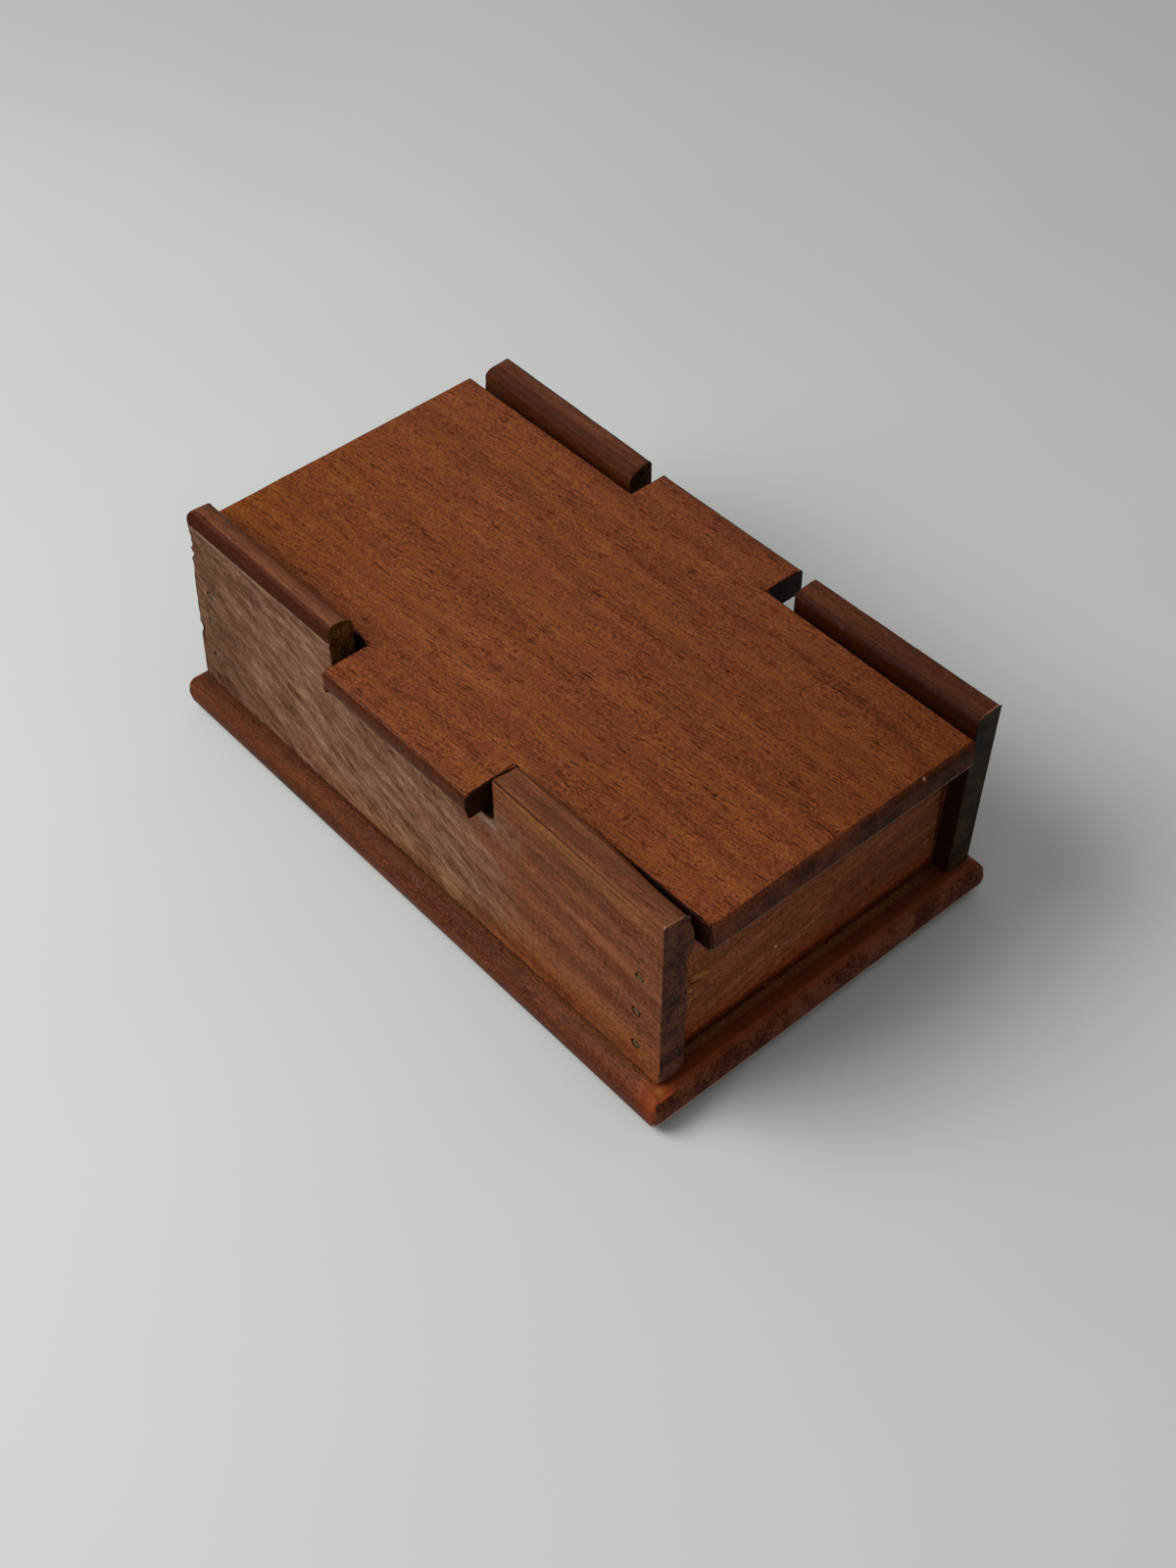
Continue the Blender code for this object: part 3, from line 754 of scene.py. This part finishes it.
    # Painted shade, near black, on the floor of each notch under the lid's tab
    notch_floor_shade = where(
        tree,
        (grain.facing["Z"], 0.6, 0.9),
        (z, LID_UNDERSIDE + 2, LID_UNDERSIDE + 1),
        (x, NOTCH_BACK - 1, NOTCH_BACK),
        (x, NOTCH_FRONT["left_side"] + 1, NOTCH_FRONT["left_side"]),
        (grain.outwards, 0.5, 0.1),
    )
    worn_end = where(
        tree,
        (x, SIDE_FRONT - 0.7, SIDE_FRONT - 0.35),
        (grain.facing["Z"], 0.2, 0.5),
        (z, LID_TOP, LID_TOP + 1),
        (grain.fleck, 0.35, 0.5),
    )
    notch_end = where(tree, cut_across, (x, -34.0, -30.0), behind_notch)
    right_end = where(tree, cut_across, at_front_end, on_right)
    left_end = where(tree, cut_across, at_front_end, on_left)
    end_light = end_grain_colour(tree, grain, "23140E", "5A3C2E")
    olive = end_grain_colour(tree, grain, "301A04", "6A4418")
    coats = [
        (where(tree, (dusty, 0.95, 1.75), face), 0.95, dry),
        (where(tree, (x, -40.0, -90.0), face), 0.9, (0.68, 0.66, 0.66)),
        (where(tree, (face_pores, 0.2, 1.0), face), 0.6, (0.42, 0.36, 0.34)),
        (foot, 0.9, (1.0, 0.84, 0.62)),
        (amber, 0.35, "7E5422"),
        (low_front, 0.8, (1.3, 1.36, 1.18)),
        (rim, 0.35, "A08C78"),
        (under_band, 0.35, "8E7460"),
        (inner_wall, 0.35, "48281A"),
        (inner_slope, 0.5, "4E2612"),
        (crown, 0.35, "643C26"),
        (right_ears, 0.9, (0.78, 0.77, 0.86)),
        (right_front_ear, 0.9, (0.54, 0.48, 0.4)),
        (right_slopes, 0.9, (0.5, 0.36, 0.22)),
        (ear_lines, 0.4, "2E1508"),
        (back_band_and_shade, 0.92, "310B00"),
        (front_band, 0.6, "6A3C26"),
        (groove_shade, 0.75, "280F06"),
        (grain.end_grain, 1.0, end_light),
        (notch_end, 1.0, olive),
        (right_notch_end, 0.9, (0.35, 0.28, 0.25)),
        (left_end, 0.9, (1.3, 0.95, 0.8)),
        (right_end, 0.95, (0.3, 0.36, 0.22)),
        (recess_shade, 0.85, "160603"),
        (notch_floor_shade, 0.9, "140A06"),
        (worn_end, 0.5, "A0765A"),
    ]
    dark_marks = (
        ((54.9, LEFT_FACE, 61.2), (9.0, 4.0, 3.4), 0.35, "3A2418"),
        ((-93.1, LEFT_FACE, 17.0), (0.9, 2.0, 0.9), 0.9, "140A06"),
        ((95.8, LEFT_FACE, 26.7), (1.0, 2.0, 0.8), 0.9, "140A06"),
        ((-98.6, LEFT_FACE, 33.0), (1.6, 2.0, 4.0), 0.7, "24140C"),
    )
    for centre, reach, strength, tint in dark_marks:
        coats.append((ragged_mark(tree, grain, centre, reach), strength, tint))
    colour = lay_over(tree, wood, *coats)
    matt = add_node(
        tree, "ShaderNodeMapRange", {"Value": where(tree, face), "To Min": 0.52, "To Max": 0.8}
    )
    relief = wood_relief(tree, grain, 0.6)
    set_sockets(tree, shader, {"Base Color": colour, "Roughness": matt, "Normal": relief})
    return material


def end_mahogany(finish):
    """Mahogany, planed: fine dashes slant across it, and it darkens to red at the foot, with painted
    shade along the very foot and a painted sheen on its left half.
    """
    material, tree, shader = new_material("planed_mahogany_ends")
    grain_turn = (math.radians(-10), 0.0, math.radians(-90))
    grain = Grain(tree, grain_turn, (0.0, 0.0, 0.0), (3.0, 9.0, 21.0), finish)
    x, y, z = grain.at
    wood = wood_colour(
        tree,
        grain,
        dark="411E10",
        middle=finish.end_colour,
        light="98603E",
        patch="5A3020",
        gold="744422",
        pore="26120A",
        pore_share=0.75,
        banding=1.0,
    )
    outside = where(tree, (grain.facing["X"], 0.5, 0.9), (x, 80.0, 90.0))
    on_outside = (outside, 0.0, 1.0)
    foot = where(tree, (z, 22.0, 15.0), on_outside)
    # Painted shade along the very foot of the outside face, where it meets the base
    contact_shade = where(tree, (z, 17.0, 14.0), on_outside)
    right_half = where(tree, (y, -30.0, 50.0), on_outside)
    # Painted sheen: the outside face's left half is lighter and greyer
    painted_sheen_left = where(tree, (y, 45.0, -5.0), on_outside)
    coats = [
        (grain.end_grain, 1.0, "3C2214"),
        (painted_sheen_left, 0.8, (1.2, 1.16, 1.16)),
        (right_half, 0.25, "46220F"),
        (foot, 0.75, (1.1, 0.58, 0.2)),
        (contact_shade, 0.65, "260C04"),
    ]
    slope = math.atan2(-3.7, 8.9)
    chips = (
        ((-38.6, 38.0), (4.8, 0.7), slope, 0.85, "9A6A2C"),
        ((-42.2, 34.3), (1.1, 0.9), 0.0, 0.85, "A37738"),
        ((-41.7, 30.6), (0.8, 0.9), 0.0, 0.8, "9A7038"),
        ((-11.3, 26.7), (0.5, 0.5), 0.0, 0.9, "D8C8B0"),
        ((-40.2, 36.6), (4.2, 0.45), slope, 0.8, "1C0C06"),
    )
    for centre, reach, turn, strength, tint in chips:
        chip = ragged_mark(tree, grain, (END_FACE, *centre), (3.0, *reach), (turn, 0.0, 0.0))
        coats.append((chip, strength, tint))
    colour = lay_over(tree, wood, *coats)
    relief = wood_relief(tree, grain, 0.6)
    set_sockets(tree, shader, {"Base Color": colour, "Roughness": 0.58, "Normal": relief})
    return material


def base_mahogany(finish):
    """Mahogany, moulded and stained: deep red-brown, a light line low on its edge that is partly wear
    and partly a painted reflection.
    """
    material, tree, shader = new_material("moulded_mahogany_base")
    grain = Grain(tree, (0.0, 0.0, -0.01), (0.0, 0.0, 0.0), (57.0, 23.0, 11.0), finish)
    x, y, z = grain.at
    wood = wood_colour(
        tree,
        grain,
        dark="3C1A0E",
        middle=finish.base_colour,
        light="7A4426",
        patch="4C281C",
        gold="5C3818",
        pore="2C130A",
        pore_share=0.5,
        banding=1.2,
    )
    front_edge = where(tree, (x, END_FACE, 101.0))
    left_edge = where(tree, (y, LEFT_FACE, LEFT_FACE - 1.5), (x, 103.0, 99.0))
    front_right = where(tree, (y, -50.0, 45.0), (x, END_FACE, 101.0))
    # Painted light: the ledge before the front end board is lightened against the shade that falls on
    # it
    lit_front_ledge = where(tree, (grain.facing["Z"], 0.2, 0.7), (x, END_FACE, END_FACE + 1))
    left_back = where(tree, (y, LEFT_FACE, LEFT_FACE - 1.5), (x, 20.0, -60.0))
    end = end_grain_colour(tree, grain, "3C180A", "6A3A24")
    # Light lines low on the front and left edges: partly a worn arris, partly a painted reflection
    worn_and_reflected_line = where(tree, (z, 3.4, 3.8), (z, 4.8, 4.4), (grain.facing["X"], 0.3, 0.6))
    left_worn_and_reflected_line = where(tree, (z, 1.3, 1.9), (z, 3.2, 2.5), (x, 60.0, -40.0), (y, 0.0, -50.0))
    dusty_foot = where(
        tree,
        (x, END_FACE + 0.4, END_FACE + 1.0),
        (x, END_FACE + 3.4, END_FACE + 2.0),
        (y, -52.0, -44.0),
        (y, 46.0, 38.0),
        (z, BASE_TOP - 1.0, BASE_TOP - 0.4),
        (grain.fleck, 0.34, 0.5),
    )
    side_foot = where(
        tree,
        (y, LEFT_FACE - 1.6, LEFT_FACE - 0.6),
        (y, LEFT_FACE + 0.6, LEFT_FACE),
        (x, -10.0, 30.0),
        (grain.fleck, 0.34, 0.55),
    )
    gap_line = where(tree, (y, LEFT_FACE - 1.0, LEFT_FACE - 0.2), (z, 12.0, 12.5))
    corner_spot = ragged_mark(tree, grain, (100.7, -57.7, 11.0), (1.6, 1.4, 4.0))
    ledge_spot = ragged_mark(tree, grain, (92.4, -13.9, 12.0), (3.4, 1.2, 3.0))
    coats = [
        (front_edge, 0.6, "74300F"),
        (front_right, 0.9, (0.66, 0.72, 0.62)),
        (lit_front_ledge, 0.9, (1.5, 1.4, 1.3)),
        (left_edge, 0.8, (0.7, 0.66, 0.62)),
        (left_back, 0.8, (0.78, 0.78, 0.5)),
        (grain.end_grain, 1.0, end),
        (worn_and_reflected_line, 0.75, "B4A090"),
        (left_worn_and_reflected_line, 0.5, "8A6850"),
        (gap_line, 0.5, "200E08"),
        (side_foot, 0.14, "8A5A28"),
        (dusty_foot, 0.5, "7C5230"),
        (corner_spot, 0.65, "8A5A28"),
        (ledge_spot, 0.6, "8A6230"),
    ]
    colour = lay_over(tree, wood, *coats)
    relief = wood_relief(tree, grain, 0.5)
    set_sockets(tree, shader, {"Base Color": colour, "Roughness": 0.5, "Normal": relief})
    return material


def rusted_steel():
    """Iron wire nails, cut and blued by age: dark rough heads with brown rust in patches."""
    material, tree, shader = new_material("aged_iron_nails")
    coordinates = add_node(tree, "ShaderNodeTexCoord")
    rust = add_node(
        tree,
        "ShaderNodeTexNoise",
        {"Vector": coordinates.outputs["Object"], "Scale": 1.4 * PER_MM, "Detail": 3.0},
    )
    share = where(tree, (rust, 0.42, 0.6))
    colour = lay_over(tree, linear("60503C"), (share, 0.8, "3A2416"))
    set_sockets(tree, shader, {"Base Color": colour, "Metallic": 0.4, "Roughness": 0.5})
    return material


# Boards


def even_rows(low, high, spacing):
    """Return evenly spaced places between two limits."""
    count = max(1, round((high - low) / spacing))
    return [low + (high - low) * number / count for number in range(1, count)]


def graded_rows(low, high):
    """Return places between two levels, closer together near a side board's top."""
    rows = []
    start = low
    for level, spacing in SIDE_ROWS:
        end = min(high, level * MM)
        rows += even_rows(start, end, spacing * MM) + [end]
        start = end
    return rows[:-1]


def slice_solid(solid, spacing, is_side):
    """Cut a solid's faces along rows of planes, so that they have points to wear."""
    for axis in range(3):
        places = [vertex.co[axis] for vertex in solid.verts]
        if is_side and axis == 2:
            rows = graded_rows(min(places), max(places))
        else:
            share = SIDE_CLOSENESS if is_side and axis else 1
            rows = even_rows(min(places), max(places), spacing * share)
        across = Vector((0, 0, 0))
        across[axis] = 1
        for row in rows:
            bmesh.ops.bisect_plane(
                solid,
                geom=solid.verts[:] + solid.edges[:] + solid.faces[:],
                dist=MERGE_DISTANCE,
                plane_co=across * row,
                plane_no=across,
            )


def arris_share(normal):
    """Return 0 where a face lies square to an axis and 1 halfway round a rounded edge."""
    flatness = max(abs(part) for part in normal)
    halfway = math.cos(math.radians(45))
    return min(1.0, max(0.0, (SQUARE - flatness) / (SQUARE - halfway)))


def smooth(value, start, end):
    """Return how far a value has gone from the start to the end, eased at both."""
    share = min(1.0, max(0.0, (value - start) / (end - start)))
    return share * share * (3 - 2 * share)


def within(value, *limits):
    """Return the share in which a value is past every limit's start, on the way to its end."""
    return math.prod(smooth(value, *limit) for limit in limits)


def below_band(node, place):
    """Return how far below the foot of its ear's band a side board's point lies, in mm."""
    if NOTCH_BACK < place.x < NOTCH_FRONT[node]:
        return LID_UNDERSIDE + SIDE_THICKNESS - place.z
    if place.x < 0:
        at_end, at_notch = EAR_BANDS[node][0]
        share = (place.x - SIDE_BACK) / (NOTCH_BACK - SIDE_BACK)
    else:
        at_end, at_notch = EAR_BANDS[node][1]
        share = (SIDE_FRONT - place.x) / (SIDE_FRONT - NOTCH_FRONT[node])
    return LID_TOP + at_end + (at_notch - at_end) * share - place.z


def side_wear(node, place, normal, wear):
    """Return how many metres a side board's point, given in mm, has gone in by hand wear."""
    below = below_band(node, place)
    outwards = normal.y * (-1 if place.y < BODY_MIDDLE else 1)
    sanded = wear.sanded_step * smooth(below, -0.1, 0.4)
    groove = wear.band_groove * smooth(below, -0.4, 0.1) * smooth(below, 0.9, 0.3)
    depth = (sanded + groove) * smooth(outwards, 0.35, 0.8)
    if node == "left_side":
        swollen = within(place.x, FRONT_STRETCH) * within(place.z, *SWOLLEN_LEVELS)
        full = within(place.x, *FULL_STRETCH) * within(place.z, FULL_LEVEL)
        swelling = wear.front_swelling * swollen + wear.ear_fullness * full
        depth -= swelling * smooth(outwards, -0.2, -0.8)
    if normal.x < -0.3 and place.x < SIDE_BACK + 6:
        lumps = noise.noise(place / CRUMBS) - 0.2 + 0.4 * noise.noise(place / BREAKS)
        depth += wear.back_edge_wear * max(0.0, lumps)
    return depth


def knock_depth(place):
    """Return how far in a knock has pushed a point, in mm."""
    depth = 0.0
    for centre, reach, deepest in KNOCKS:
        share = (place - Vector(centre)).length / reach
        if share < 1:
            depth = max(depth, deepest * (1 - share * share))
    return depth


def worn_board(node, wear, material):
    """Return a worn copy of a node's solid, as an object whose place is in its mesh."""
    solid = bmesh.new()
    solid.from_mesh(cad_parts[node].data)
    bmesh.ops.remove_doubles(solid, verts=solid.verts, dist=MERGE_DISTANCE)
    bmesh.ops.dissolve_limit(solid, angle_limit=FLAT_ANGLE, verts=solid.verts, edges=solid.edges)
    is_side = node in EAR_BANDS
    slice_solid(solid, wear.slice_spacing, is_side)
    solid.normal_update()
    arris_layer = solid.verts.layers.float.new("arris")
    below_layer = solid.verts.layers.float.new("below_band")
    seed = Vector((len(node), len(node) * 2, 0)) * 10
    worn_places = []
    for vertex in solid.verts:
        place = vertex.co * PER_MM
        share = arris_share(vertex.normal)
        vertex[arris_layer] = share
        rubbed = 0.5 + 0.5 * noise.noise((place + seed) / RUBBED)
        nicked = max(0.0, noise.noise((place + seed) / NICKS))
        dipped = 0.5 + 0.5 * noise.noise((place + seed) / DIPS)
        depth = share * wear.arris_wear * (0.5 * rubbed + 0.7 * nicked * nicked)
        depth += (1 - share) * wear.face_waviness * dipped
        depth += knock_depth(place) * MM
        if is_side:
            vertex[below_layer] = below_band(node, place)
            depth += side_wear(node, place, vertex.normal, wear)
        worn_places.append(vertex.co - vertex.normal * depth)
    for vertex, place in zip(solid.verts, worn_places):
        vertex.co = place
    bmesh.ops.triangulate(solid, faces=solid.faces)
    mesh = bpy.data.meshes.new(f"worn_{node}")
    solid.to_mesh(mesh)
    solid.free()
    mesh.shade_smooth()
    mesh.set_sharp_from_angle(angle=SHARP_ANGLE)
    mesh.materials.append(material)
    piece = add_object(f"worn_{node}", mesh)
    weighting = piece.modifiers.new("even_faces", "WEIGHTED_NORMAL")
    weighting.keep_sharp = True
    return piece


def dress_boards(scene, nodes, finish, body):
    """Put a worn board in the place of each node's solid, all of one finish and on one body."""
    material = finish(scene.box_finish)
    for node in nodes:
        piece = worn_board(node, scene.box_wear, material)
        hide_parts(node)
        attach(piece, body)


class BOX_OT_base_board(Operator):
    """Add the base board with its moulded edge"""

    bl_idname = "mahogany_box.base_board"
    bl_label = "Base board"

    def execute(self, context):
        dress_boards(context.scene, ("base_board",), base_mahogany, "box")
        return {"FINISHED"}


class BOX_OT_side_boards(Operator):
    """Add the two notched side boards with their worn ears"""

    bl_idname = "mahogany_box.side_boards"
    bl_label = "Side boards"

    def execute(self, context):
        dress_boards(context.scene, EAR_BANDS, side_mahogany, "box")
        return {"FINISHED"}


class BOX_OT_end_boards(Operator):
    """Add the two end boards that stand between the side boards"""

    bl_idname = "mahogany_box.end_boards"
    bl_label = "End boards"

    def execute(self, context):
        dress_boards(context.scene, ("front_end", "back_end"), end_mahogany, "box")
        return {"FINISHED"}


class BOX_OT_lid(Operator):
    """Add the cross-shaped lid"""

    bl_idname = "mahogany_box.lid"
    bl_label = "Lid"

    def execute(self, context):
        dress_boards(context.scene, ("lid",), lid_mahogany, "lid")
        return {"FINISHED"}


# Nails


def nail_tree(material):
    """Build the tree that drives one nail at each point, along the point's own way in."""
    tree = bpy.data.node_groups.new("driven_nails", "GeometryNodeTree")
    sockets = tree.interface
    sockets.new_socket("Places", in_out="INPUT", socket_type="NodeSocketGeometry")
    for name in ("Length", "Head Radius", "Head Thickness", "Shank Radius", "Point Length", "Rim"):
        sockets.new_socket(name, in_out="INPUT", socket_type="NodeSocketFloat")
    sockets.new_socket("Sides", in_out="INPUT", socket_type="NodeSocketInt")
    sockets.new_socket("Nails", in_out="OUTPUT", socket_type="NodeSocketGeometry")
    given = add_node(tree, "NodeGroupInput").outputs
    head_face = add_node(
        tree, "ShaderNodeMath", {0: given["Head Radius"], 1: given["Rim"]}, operation="SUBTRACT"
    )
    neck = add_node(
        tree, "ShaderNodeMath", {0: given["Head Thickness"], 1: given["Rim"]}, operation="ADD"
    )
    shoulder = add_node(
        tree, "ShaderNodeMath", {0: given["Length"], 1: given["Point Length"]}, operation="SUBTRACT"
    )
    station = add_node(tree, "GeometryNodeInputIndex")
    stations = (
        (0.0, head_face),
        (given["Rim"], given["Head Radius"]),
        (given["Head Thickness"], given["Head Radius"]),
        (neck, given["Shank Radius"]),
        (shoulder, given["Shank Radius"]),
        (given["Length"], given["Rim"]),
    )
    picks = []
    for column in range(2):
        pick = add_node(tree, "GeometryNodeIndexSwitch", data_type="FLOAT")
        while len(pick.index_switch_items) < len(stations):
            pick.index_switch_items.new()
        choices = {number: row[column] for number, row in enumerate(stations, start=1)}
        set_sockets(tree, pick, {"Index": station, **choices})
        picks.append(pick)
    spine = add_node(tree, "GeometryNodeMeshLine", {"Count": len(stations)})
    along = add_node(tree, "ShaderNodeCombineXYZ", {"Z": picks[0]})
    placed = add_node(tree, "GeometryNodeSetPosition", {"Geometry": spine, "Position": along})
    line = add_node(tree, "GeometryNodeMeshToCurve", {"Mesh": placed})
    sized = add_node(tree, "GeometryNodeSetCurveRadius", {"Curve": line, "Radius": picks[1]})
    ring = add_node(
        tree, "GeometryNodeCurvePrimitiveCircle", {"Resolution": given["Sides"], "Radius": 1.0}
    )
    span = add_node(tree, "GeometryNodeInputRadius")
    nail = add_node(
        tree,
        "GeometryNodeCurveToMesh",
        {"Curve": sized, "Profile Curve": ring, "Scale": span, "Fill Caps": True},
    )
    way_in = add_node(
        tree, "GeometryNodeInputNamedAttribute", {"Name": "way_in"}, data_type="FLOAT_VECTOR"
    )
    aimed = add_node(tree, "FunctionNodeAlignRotationToVector", {"Vector": way_in}, axis="Z")
    spin = add_node(
        tree,
        "FunctionNodeRandomValue",
        {"Min": (0.0, 0.0, 0.0), "Max": (0.0, 0.0, math.tau), "Seed": 7},
        data_type="FLOAT_VECTOR",
    )
    turned = add_node(
        tree,
        "FunctionNodeRotateRotation",
        {"Rotation": aimed, "Rotate By": spin},
        rotation_space="LOCAL",
    )
    driven = add_node(
        tree,
        "GeometryNodeInstanceOnPoints",
        {"Points": given["Places"], "Instance": nail, "Rotation": turned},
    )
    real = add_node(tree, "GeometryNodeRealizeInstances", {"Geometry": driven})
    finished = add_node(tree, "GeometryNodeSetMaterial", {"Geometry": real, "Material": material})
    add_node(tree, "NodeGroupOutput", {"Nails": finished})
    return tree


def nail_places(nodes, axis, inwards):
    """Return a mesh of points at the nails' heads, each with the way that its nail goes in."""
    mesh = bpy.data.meshes.new("nail_places")
    heads = []
    ways = []
    for node in nodes:
        low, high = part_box(node)
        way = Vector((0, 0, 0))
        way[axis] = inwards(low, high)
        head = (low + high) / 2
        head[axis] = low[axis] if way[axis] > 0 else high[axis]
        heads.append(head)
        ways.append(way)
    mesh.from_pydata(heads, [], [])
    layer = mesh.attributes.new("way_in", "FLOAT_VECTOR", "POINT")
    for number, way in enumerate(ways):
        layer.data[number].vector = way
    return mesh


def drive_nails(name, nodes, places, axis, tree, nails):
    """Run the tree on a row of places, and return its nails as a plain mesh object."""
    low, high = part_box(nodes[0])
    sizes = {
        "Length": high[axis] - low[axis],
        "Head Radius": nails.head_radius,
        "Head Thickness": nails.head_thickness,
        "Shank Radius": nails.shank_radius,
        "Point Length": nails.point_length,
        "Rim": NAIL_RIM,
        "Sides": nails.sides,
    }
    sockets = {item.name: item.identifier for item in tree.interface.items_tree}
    holder = add_object(f"{name}_places", places)
    modifier = holder.modifiers.new("driven_nails", "NODES")
    modifier.node_group = tree
    for size_name, value in sizes.items():
        modifier[sockets[size_name]] = value
    depsgraph = bpy.context.evaluated_depsgraph_get()
    mesh = bpy.data.meshes.new_from_object(holder.evaluated_get(depsgraph))
    bpy.data.objects.remove(holder)
    shell = bmesh.new()
    shell.from_mesh(mesh)
    bmesh.ops.recalc_face_normals(shell, faces=shell.faces)
    shell.to_mesh(mesh)
    shell.free()
    mesh.name = name
    mesh.shade_smooth()
    mesh.set_sharp_from_angle(angle=SHARP_ANGLE)
    return add_object(name, mesh)


class BOX_OT_nails(Operator):
    """Drive the nails through the side boards and up through the base board"""

    bl_idname = "mahogany_box.nails"
    bl_label = "Nails"

    def execute(self, context):
        tree = nail_tree(rusted_steel())
        side_nodes = [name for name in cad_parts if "nail" in name and "base" not in name]
        base_nodes = [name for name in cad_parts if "nail" in name and "base" in name]
        rows = (
            ("side_nails", side_nodes, 1, lambda low, high: 1 if low.y < 0 else -1),
            ("base_nails", base_nodes, 2, lambda low, high: 1),
        )
        for name, nodes, axis, inwards in rows:
            places = nail_places(nodes, axis, inwards)
            piece = drive_nails(name, nodes, places, axis, tree, context.scene.box_nails)
            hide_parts(*nodes)
            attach(piece, "box")
        return {"FINISHED"}


# Stage


def place_camera(stage):
    """Put the camera where the photograph was taken from."""
    azimuth = stage.camera_azimuth
    elevation = stage.camera_elevation
    back = Vector(
        (
            math.sin(azimuth) * math.cos(elevation),
            -math.cos(azimuth) * math.cos(elevation),
            math.sin(elevation),
        )
    )
    level_right = Vector((math.cos(azimuth), math.sin(azimuth), 0))
    level_up = back.cross(level_right)
    turn = stage.camera_roll
    right = level_right * math.cos(turn) + level_up * math.sin(turn)
    up = level_up * math.cos(turn) - level_right * math.sin(turn)
    data = bpy.data.cameras.new("photo_camera")
    data.sensor_width = SENSOR_WIDTH
    data.lens = stage.focal_pixels / PHOTO_HEIGHT * SENSOR_WIDTH
    data.clip_start = 0.01
    camera = add_object("photo_camera", data)
    location = Vector(stage.camera_target) + back * stage.camera_distance
    facing = Matrix((right, up, back)).transposed().to_4x4()
    camera.matrix_world = Matrix.Translation(location) @ facing
    bpy.context.scene.camera = camera


def matt_floor(stage):
    """Matt painted board: even and pale, with a faint tooth that keeps highlights off it."""
    material, tree, shader = new_material("matt_painted_floor")
    coordinates = add_node(tree, "ShaderNodeTexCoord")
    cloud = add_node(
        tree,
        "ShaderNodeTexNoise",
        {"Vector": coordinates.outputs["Object"], "Scale": 6.0, "Detail": 2.0},
    )
    tone = add_node(
        tree,
        "ShaderNodeMapRange",
        {"Value": cloud, "From Min": 0.3, "From Max": 0.7, "To Min": 0.98, "To Max": 1.02},
    )
    colour = add_node(
        tree, "ShaderNodeVectorMath", {0: stage.floor_colour[:3], "Scale": tone}, operation="SCALE"
    )
    set_sockets(tree, shader, {"Base Color": colour, "Roughness": 0.8})
    return material


def add_floor(stage):
    """Lay a round pale floor, far wider than the camera sees."""
    disc = bmesh.new()
    bmesh.ops.create_circle(disc, cap_ends=True, segments=64, radius=FLOOR_RADIUS)
    mesh = bpy.data.meshes.new("floor")
    disc.to_mesh(mesh)
    disc.free()
    mesh.materials.append(matt_floor(stage))
    floor = add_object("floor", mesh)


def add_lamp(name, place, aim, size, power):
    """Hang a square soft lamp at a place and turn it towards another."""
    data = bpy.data.lights.new(name, "AREA")
    data.size = size
    data.energy = power
    lamp = add_object(name, data)
    direction = Vector(aim) - Vector(place)
    lamp.location = place
    lamp.rotation_euler = direction.to_track_quat("-Z", "Y").to_euler()


def light_room(stage):
    """Light the box evenly from all round; the camera sees a paler wall than the light."""
    world = bpy.data.worlds.new("studio")
    world.use_nodes = True
    tree = world.node_tree
    seen = add_node(tree, "ShaderNodeLightPath")
    strength = add_node(
        tree,
        "ShaderNodeMapRange",
        {"Value": seen.outputs["Is Camera Ray"], "To Min": stage.daylight, "To Max": WALL_BRIGHTNESS},
    )
    light = {"Color": linear("F2F4F6"), "Strength": strength}
    set_sockets(tree, tree.nodes["Background"], light)
    bpy.context.scene.world = world


class BOX_OT_stage(Operator):
    """Add the floor, the lamps and the camera"""

    bl_idname = "mahogany_box.stage"
    bl_label = "Stage"

    def execute(self, context):
        stage = context.scene.box_stage
        add_floor(stage)
        light_room(stage)
        add_lamp("window_lamp", LAMP_PLACE, LAMP_AIM, LAMP_WIDTH, stage.lamp_power)
        place_camera(stage)
        context.scene.view_settings.view_transform = "Standard"
        return {"FINISHED"}


class BOX_PT_sidebar(Panel):
    """Lists the box's pieces and their settings"""

    bl_idname = "BOX_PT_sidebar"
    bl_label = "Mahogany Box"
    bl_space_type = "VIEW_3D"
    bl_region_type = "UI"
    bl_category = "Box"

    def draw(self, context):
        for name in SETTINGS:
            group = getattr(context.scene, name)
            column = self.layout.column()
            for setting in group.__annotations__:
                column.prop(group, setting)
        for operator in OPERATORS:
            self.layout.operator(operator.bl_idname)


SETTINGS = {"box_wear": BoxWear, "box_nails": BoxNails, "box_finish": BoxFinish, "box_stage": BoxStage}
OPERATORS = (
    BOX_OT_base_board, BOX_OT_side_boards, BOX_OT_end_boards, BOX_OT_lid, BOX_OT_nails, BOX_OT_stage
)


def register():
    for name, group in SETTINGS.items():
        bpy.utils.register_class(group)
        setattr(bpy.types.Scene, name, PointerProperty(type=group))
    for operator in OPERATORS:
        bpy.utils.register_class(operator)
    bpy.utils.register_class(BOX_PT_sidebar)


def unregister():
    bpy.utils.unregister_class(BOX_PT_sidebar)
    for operator in reversed(OPERATORS):
        bpy.utils.unregister_class(operator)
    for name, group in reversed(SETTINGS.items()):
        delattr(bpy.types.Scene, name)
        bpy.utils.unregister_class(group)


def main():
    """Build the box and its stage."""
    register()
    bpy.ops.mahogany_box.base_board()
    bpy.ops.mahogany_box.side_boards()
    bpy.ops.mahogany_box.end_boards()
    bpy.ops.mahogany_box.lid()
    bpy.ops.mahogany_box.nails()
    bpy.ops.mahogany_box.stage()
    bpy.context.view_layer.update()


if __name__ == "__main__":
    main()
